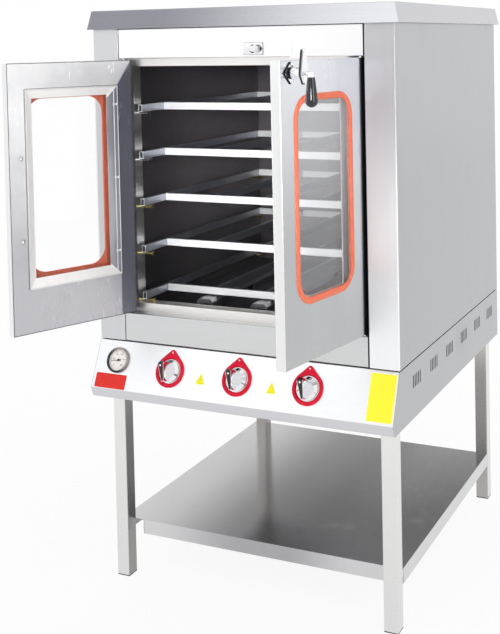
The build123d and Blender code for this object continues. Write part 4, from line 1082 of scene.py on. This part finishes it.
def rose_gasket():
    """A thin dark sheet under the latch's four-cornered rose that shows as its outline, a painted shadow
    line.
    """
    low, high = RIGHT_DOOR.extent("latch_rose")
    shown = 1.06
    half = shown * (high[0] - low[0]) / 2
    outline = rounded_corners([(half, 0.0), (0.0, half), (-half, 0.0), (0.0, -half)], 3 * MM)
    shape = layered(RIGHT_DOOR.middle_of(low, high, low[2]), [outline, outline], [0.0, 0.9 * MM])
    # A dark sheet as a painted shadow line round the rose.
    make_piece("latch_rose_shadow_line", shape, black_matt, "door_right")


def keeper_gasket():
    """A thin dark sheet round the keeper's plate that shows as its outline, a painted shadow line."""
    low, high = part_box("latch_keeper")
    shown = 1.6 * MM
    outline = rounded_box(high[0] - low[0] + shown, high[2] - low[2] + shown, 4 * MM)
    seat = Seat(((low[0] + high[0]) / 2, high[1], (low[2] + high[2]) / 2), X, Z, (0, -1, 0))
    shape = layered(seat, [outline, outline], [0.0, 0.8 * MM])
    # A dark sheet as a painted shadow line round the keeper's plate.
    make_piece("keeper_gasket", shape, black_matt, "cabinet")


latch_grip()
rose_gasket()
keeper_gasket()


# Oven


def bolt_nuts():
    """A hexagon nut on each rack bolt, against the oven's side."""
    shapes = {"upper": [], "lower": []}
    low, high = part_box("rack_bolts_upper")
    bolt_radius, from_end, sunk = 3.0 * MM, 5 * MM, 1 * MM
    hexagon, rim = circle(6.0 * MM, 6), circle(5.3 * MM, 6)
    for level in RACK_LEVELS:
        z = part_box(f"rack_{level}")[0][2] - bolt_radius
        group = "upper" if z > low[2] else "lower"
        for hand in (-1, 1):
            for y in (low[1] + from_end, high[1] - from_end):
                seat = Seat((hand * (LINER_SIDE_X - sunk), y, z), Y, Z, (-hand, 0, 0))
                shapes[group].append(layered(seat, [hexagon, hexagon, rim], [0.0, 4.0 * MM, 5.0 * MM]))
    make_piece("rack_nuts_upper", joined(*shapes["upper"]), zinc, "cabinet")
    make_piece("rack_nuts_lower", joined(*shapes["lower"]), yellow_zinc, "cabinet")


bolt_nuts()


# Floor, backdrop and light


def make_floor():
    """A wide pale floor that keeps the object's soft shadow, almost white where it is seen or mirrored."""
    paint = Paint("floor_white")
    paint.finish(Base_Color=(0.9, 0.9, 0.9), Roughness=0.9, Specular_IOR_Level=0.1)
    ray = paint.node("ShaderNodeLightPath")
    kinds = ("Camera", "Glossy", "Transmission")
    camera, glossy, through = (Value(paint, ray.outputs[f"Is {kind} Ray"]) for kind in kinds)
    seen = camera + glossy + through
    glow = paint.node("ShaderNodeEmission", None, {"Color": (1.0, 1.0, 1.0), "Strength": 1.0})
    paint.covered(glow, (seen * 0.90).clamped())
    wide = 9.0
    corners = [(-wide, -wide, 0), (wide, -wide, 0), (wide, wide, 0), (-wide, wide, 0)]
    mesh = bpy.data.meshes.new("floor")
    mesh.from_pydata(corners, [], [(0, 1, 2, 3)])
    mesh.materials.append(paint.material)
    floor = into_scene("floor", mesh)


def make_world():
    """A white studio, with dark gaps beside the camera and high behind for bright metal to mirror."""
    world = bpy.data.worlds.new("studio")
    bpy.context.scene.world = world
    world.use_nodes = True
    sheet = Sheet(world.node_tree)
    out = sheet.node("ShaderNodeOutputWorld")
    ray = sheet.node("ShaderNodeLightPath")
    where = Value(sheet, sheet.node("ShaderNodeTexCoord").outputs["Generated"])
    beside_camera = sheet.vector_math("DOT_PRODUCT", where, (0.42, -0.90, 0.0), "Value").step(0.93, 0.985)
    high_behind = sheet.vector_math("DOT_PRODUCT", where, (-0.20, 0.74, 0.64), "Value").step(0.910, 0.968)
    mirrored = Value(sheet, ray.outputs["Is Glossy Ray"])
    dark = (beside_camera * 0.85 + high_behind * 0.85) * mirrored
    level = sheet.node("ShaderNodeBackground", None, {"Color": (1.0, 1.0, 1.0), "Strength": 1.0 - dark})
    sheet.tree.links.new(level.outputs[0], out.inputs["Surface"])


def lamp(name, place, aim, wide, tall, watts, spread=180.0):
    """A soft rectangular lamp, its beam this many degrees wide."""
    data = bpy.data.lights.new(name, "AREA")
    data.shape = "RECTANGLE"
    data.size = wide
    data.size_y = tall
    data.energy = watts
    data.spread = math.radians(spread)
    item = into_scene(name, data)
    item.location = place
    item.rotation_mode = "QUATERNION"
    item.rotation_quaternion = (Vector(aim) - Vector(place)).to_track_quat("-Z", "Y")


def make_camera():
    """The photograph's viewpoint: right of the oven, above its middle, turned left and slightly down."""
    place = Vector((1.35842, -2.93147, 1.51855))
    yaw, pitch, roll = math.radians(23.33), math.radians(-2.202), math.radians(-1.043)
    ahead = Vector((-math.sin(yaw) * math.cos(pitch), math.cos(yaw) * math.cos(pitch), math.sin(pitch)))
    level = Vector((math.cos(yaw), math.sin(yaw), 0))
    rise = level.cross(ahead)
    right = math.cos(roll) * level + math.sin(roll) * rise
    up = math.cos(roll) * rise - math.sin(roll) * level
    frame_wide, frame_tall = 500, 634
    focal, centre_x, centre_y = 1059.556, 338.39, 80.826
    data = bpy.data.cameras.new("camera")
    data.sensor_fit = "AUTO"
    data.sensor_width = 36.0
    data.lens = data.sensor_width * focal / frame_tall
    data.shift_x = (frame_wide / 2 - centre_x) / frame_tall
    data.shift_y = (centre_y - frame_tall / 2) / frame_tall
    data.clip_start, data.clip_end = 0.05, 60
    camera = into_scene("camera", data)
    camera.matrix_world = Matrix.Translation(place) @ Matrix((right, up, -ahead)).transposed().to_4x4()
    bpy.context.scene.camera = camera


make_floor()
make_world()
lamp("front_left", (-2.6, -3.4, 2.6), (0, 0, 0.9), 2.4, 2.4, 5)
lamp("right_strip", (2.75, -1.75, 1.4), (0.3, -0.4, 1.2), 0.55, 1.7, 18)
lamp("mouth_light", (0.95, -3.0, 1.55), (-0.06, -0.42, 1.15), 0.35, 0.35, 1.15, 23)
make_camera()
bpy.context.scene.view_settings.view_transform = "Standard"
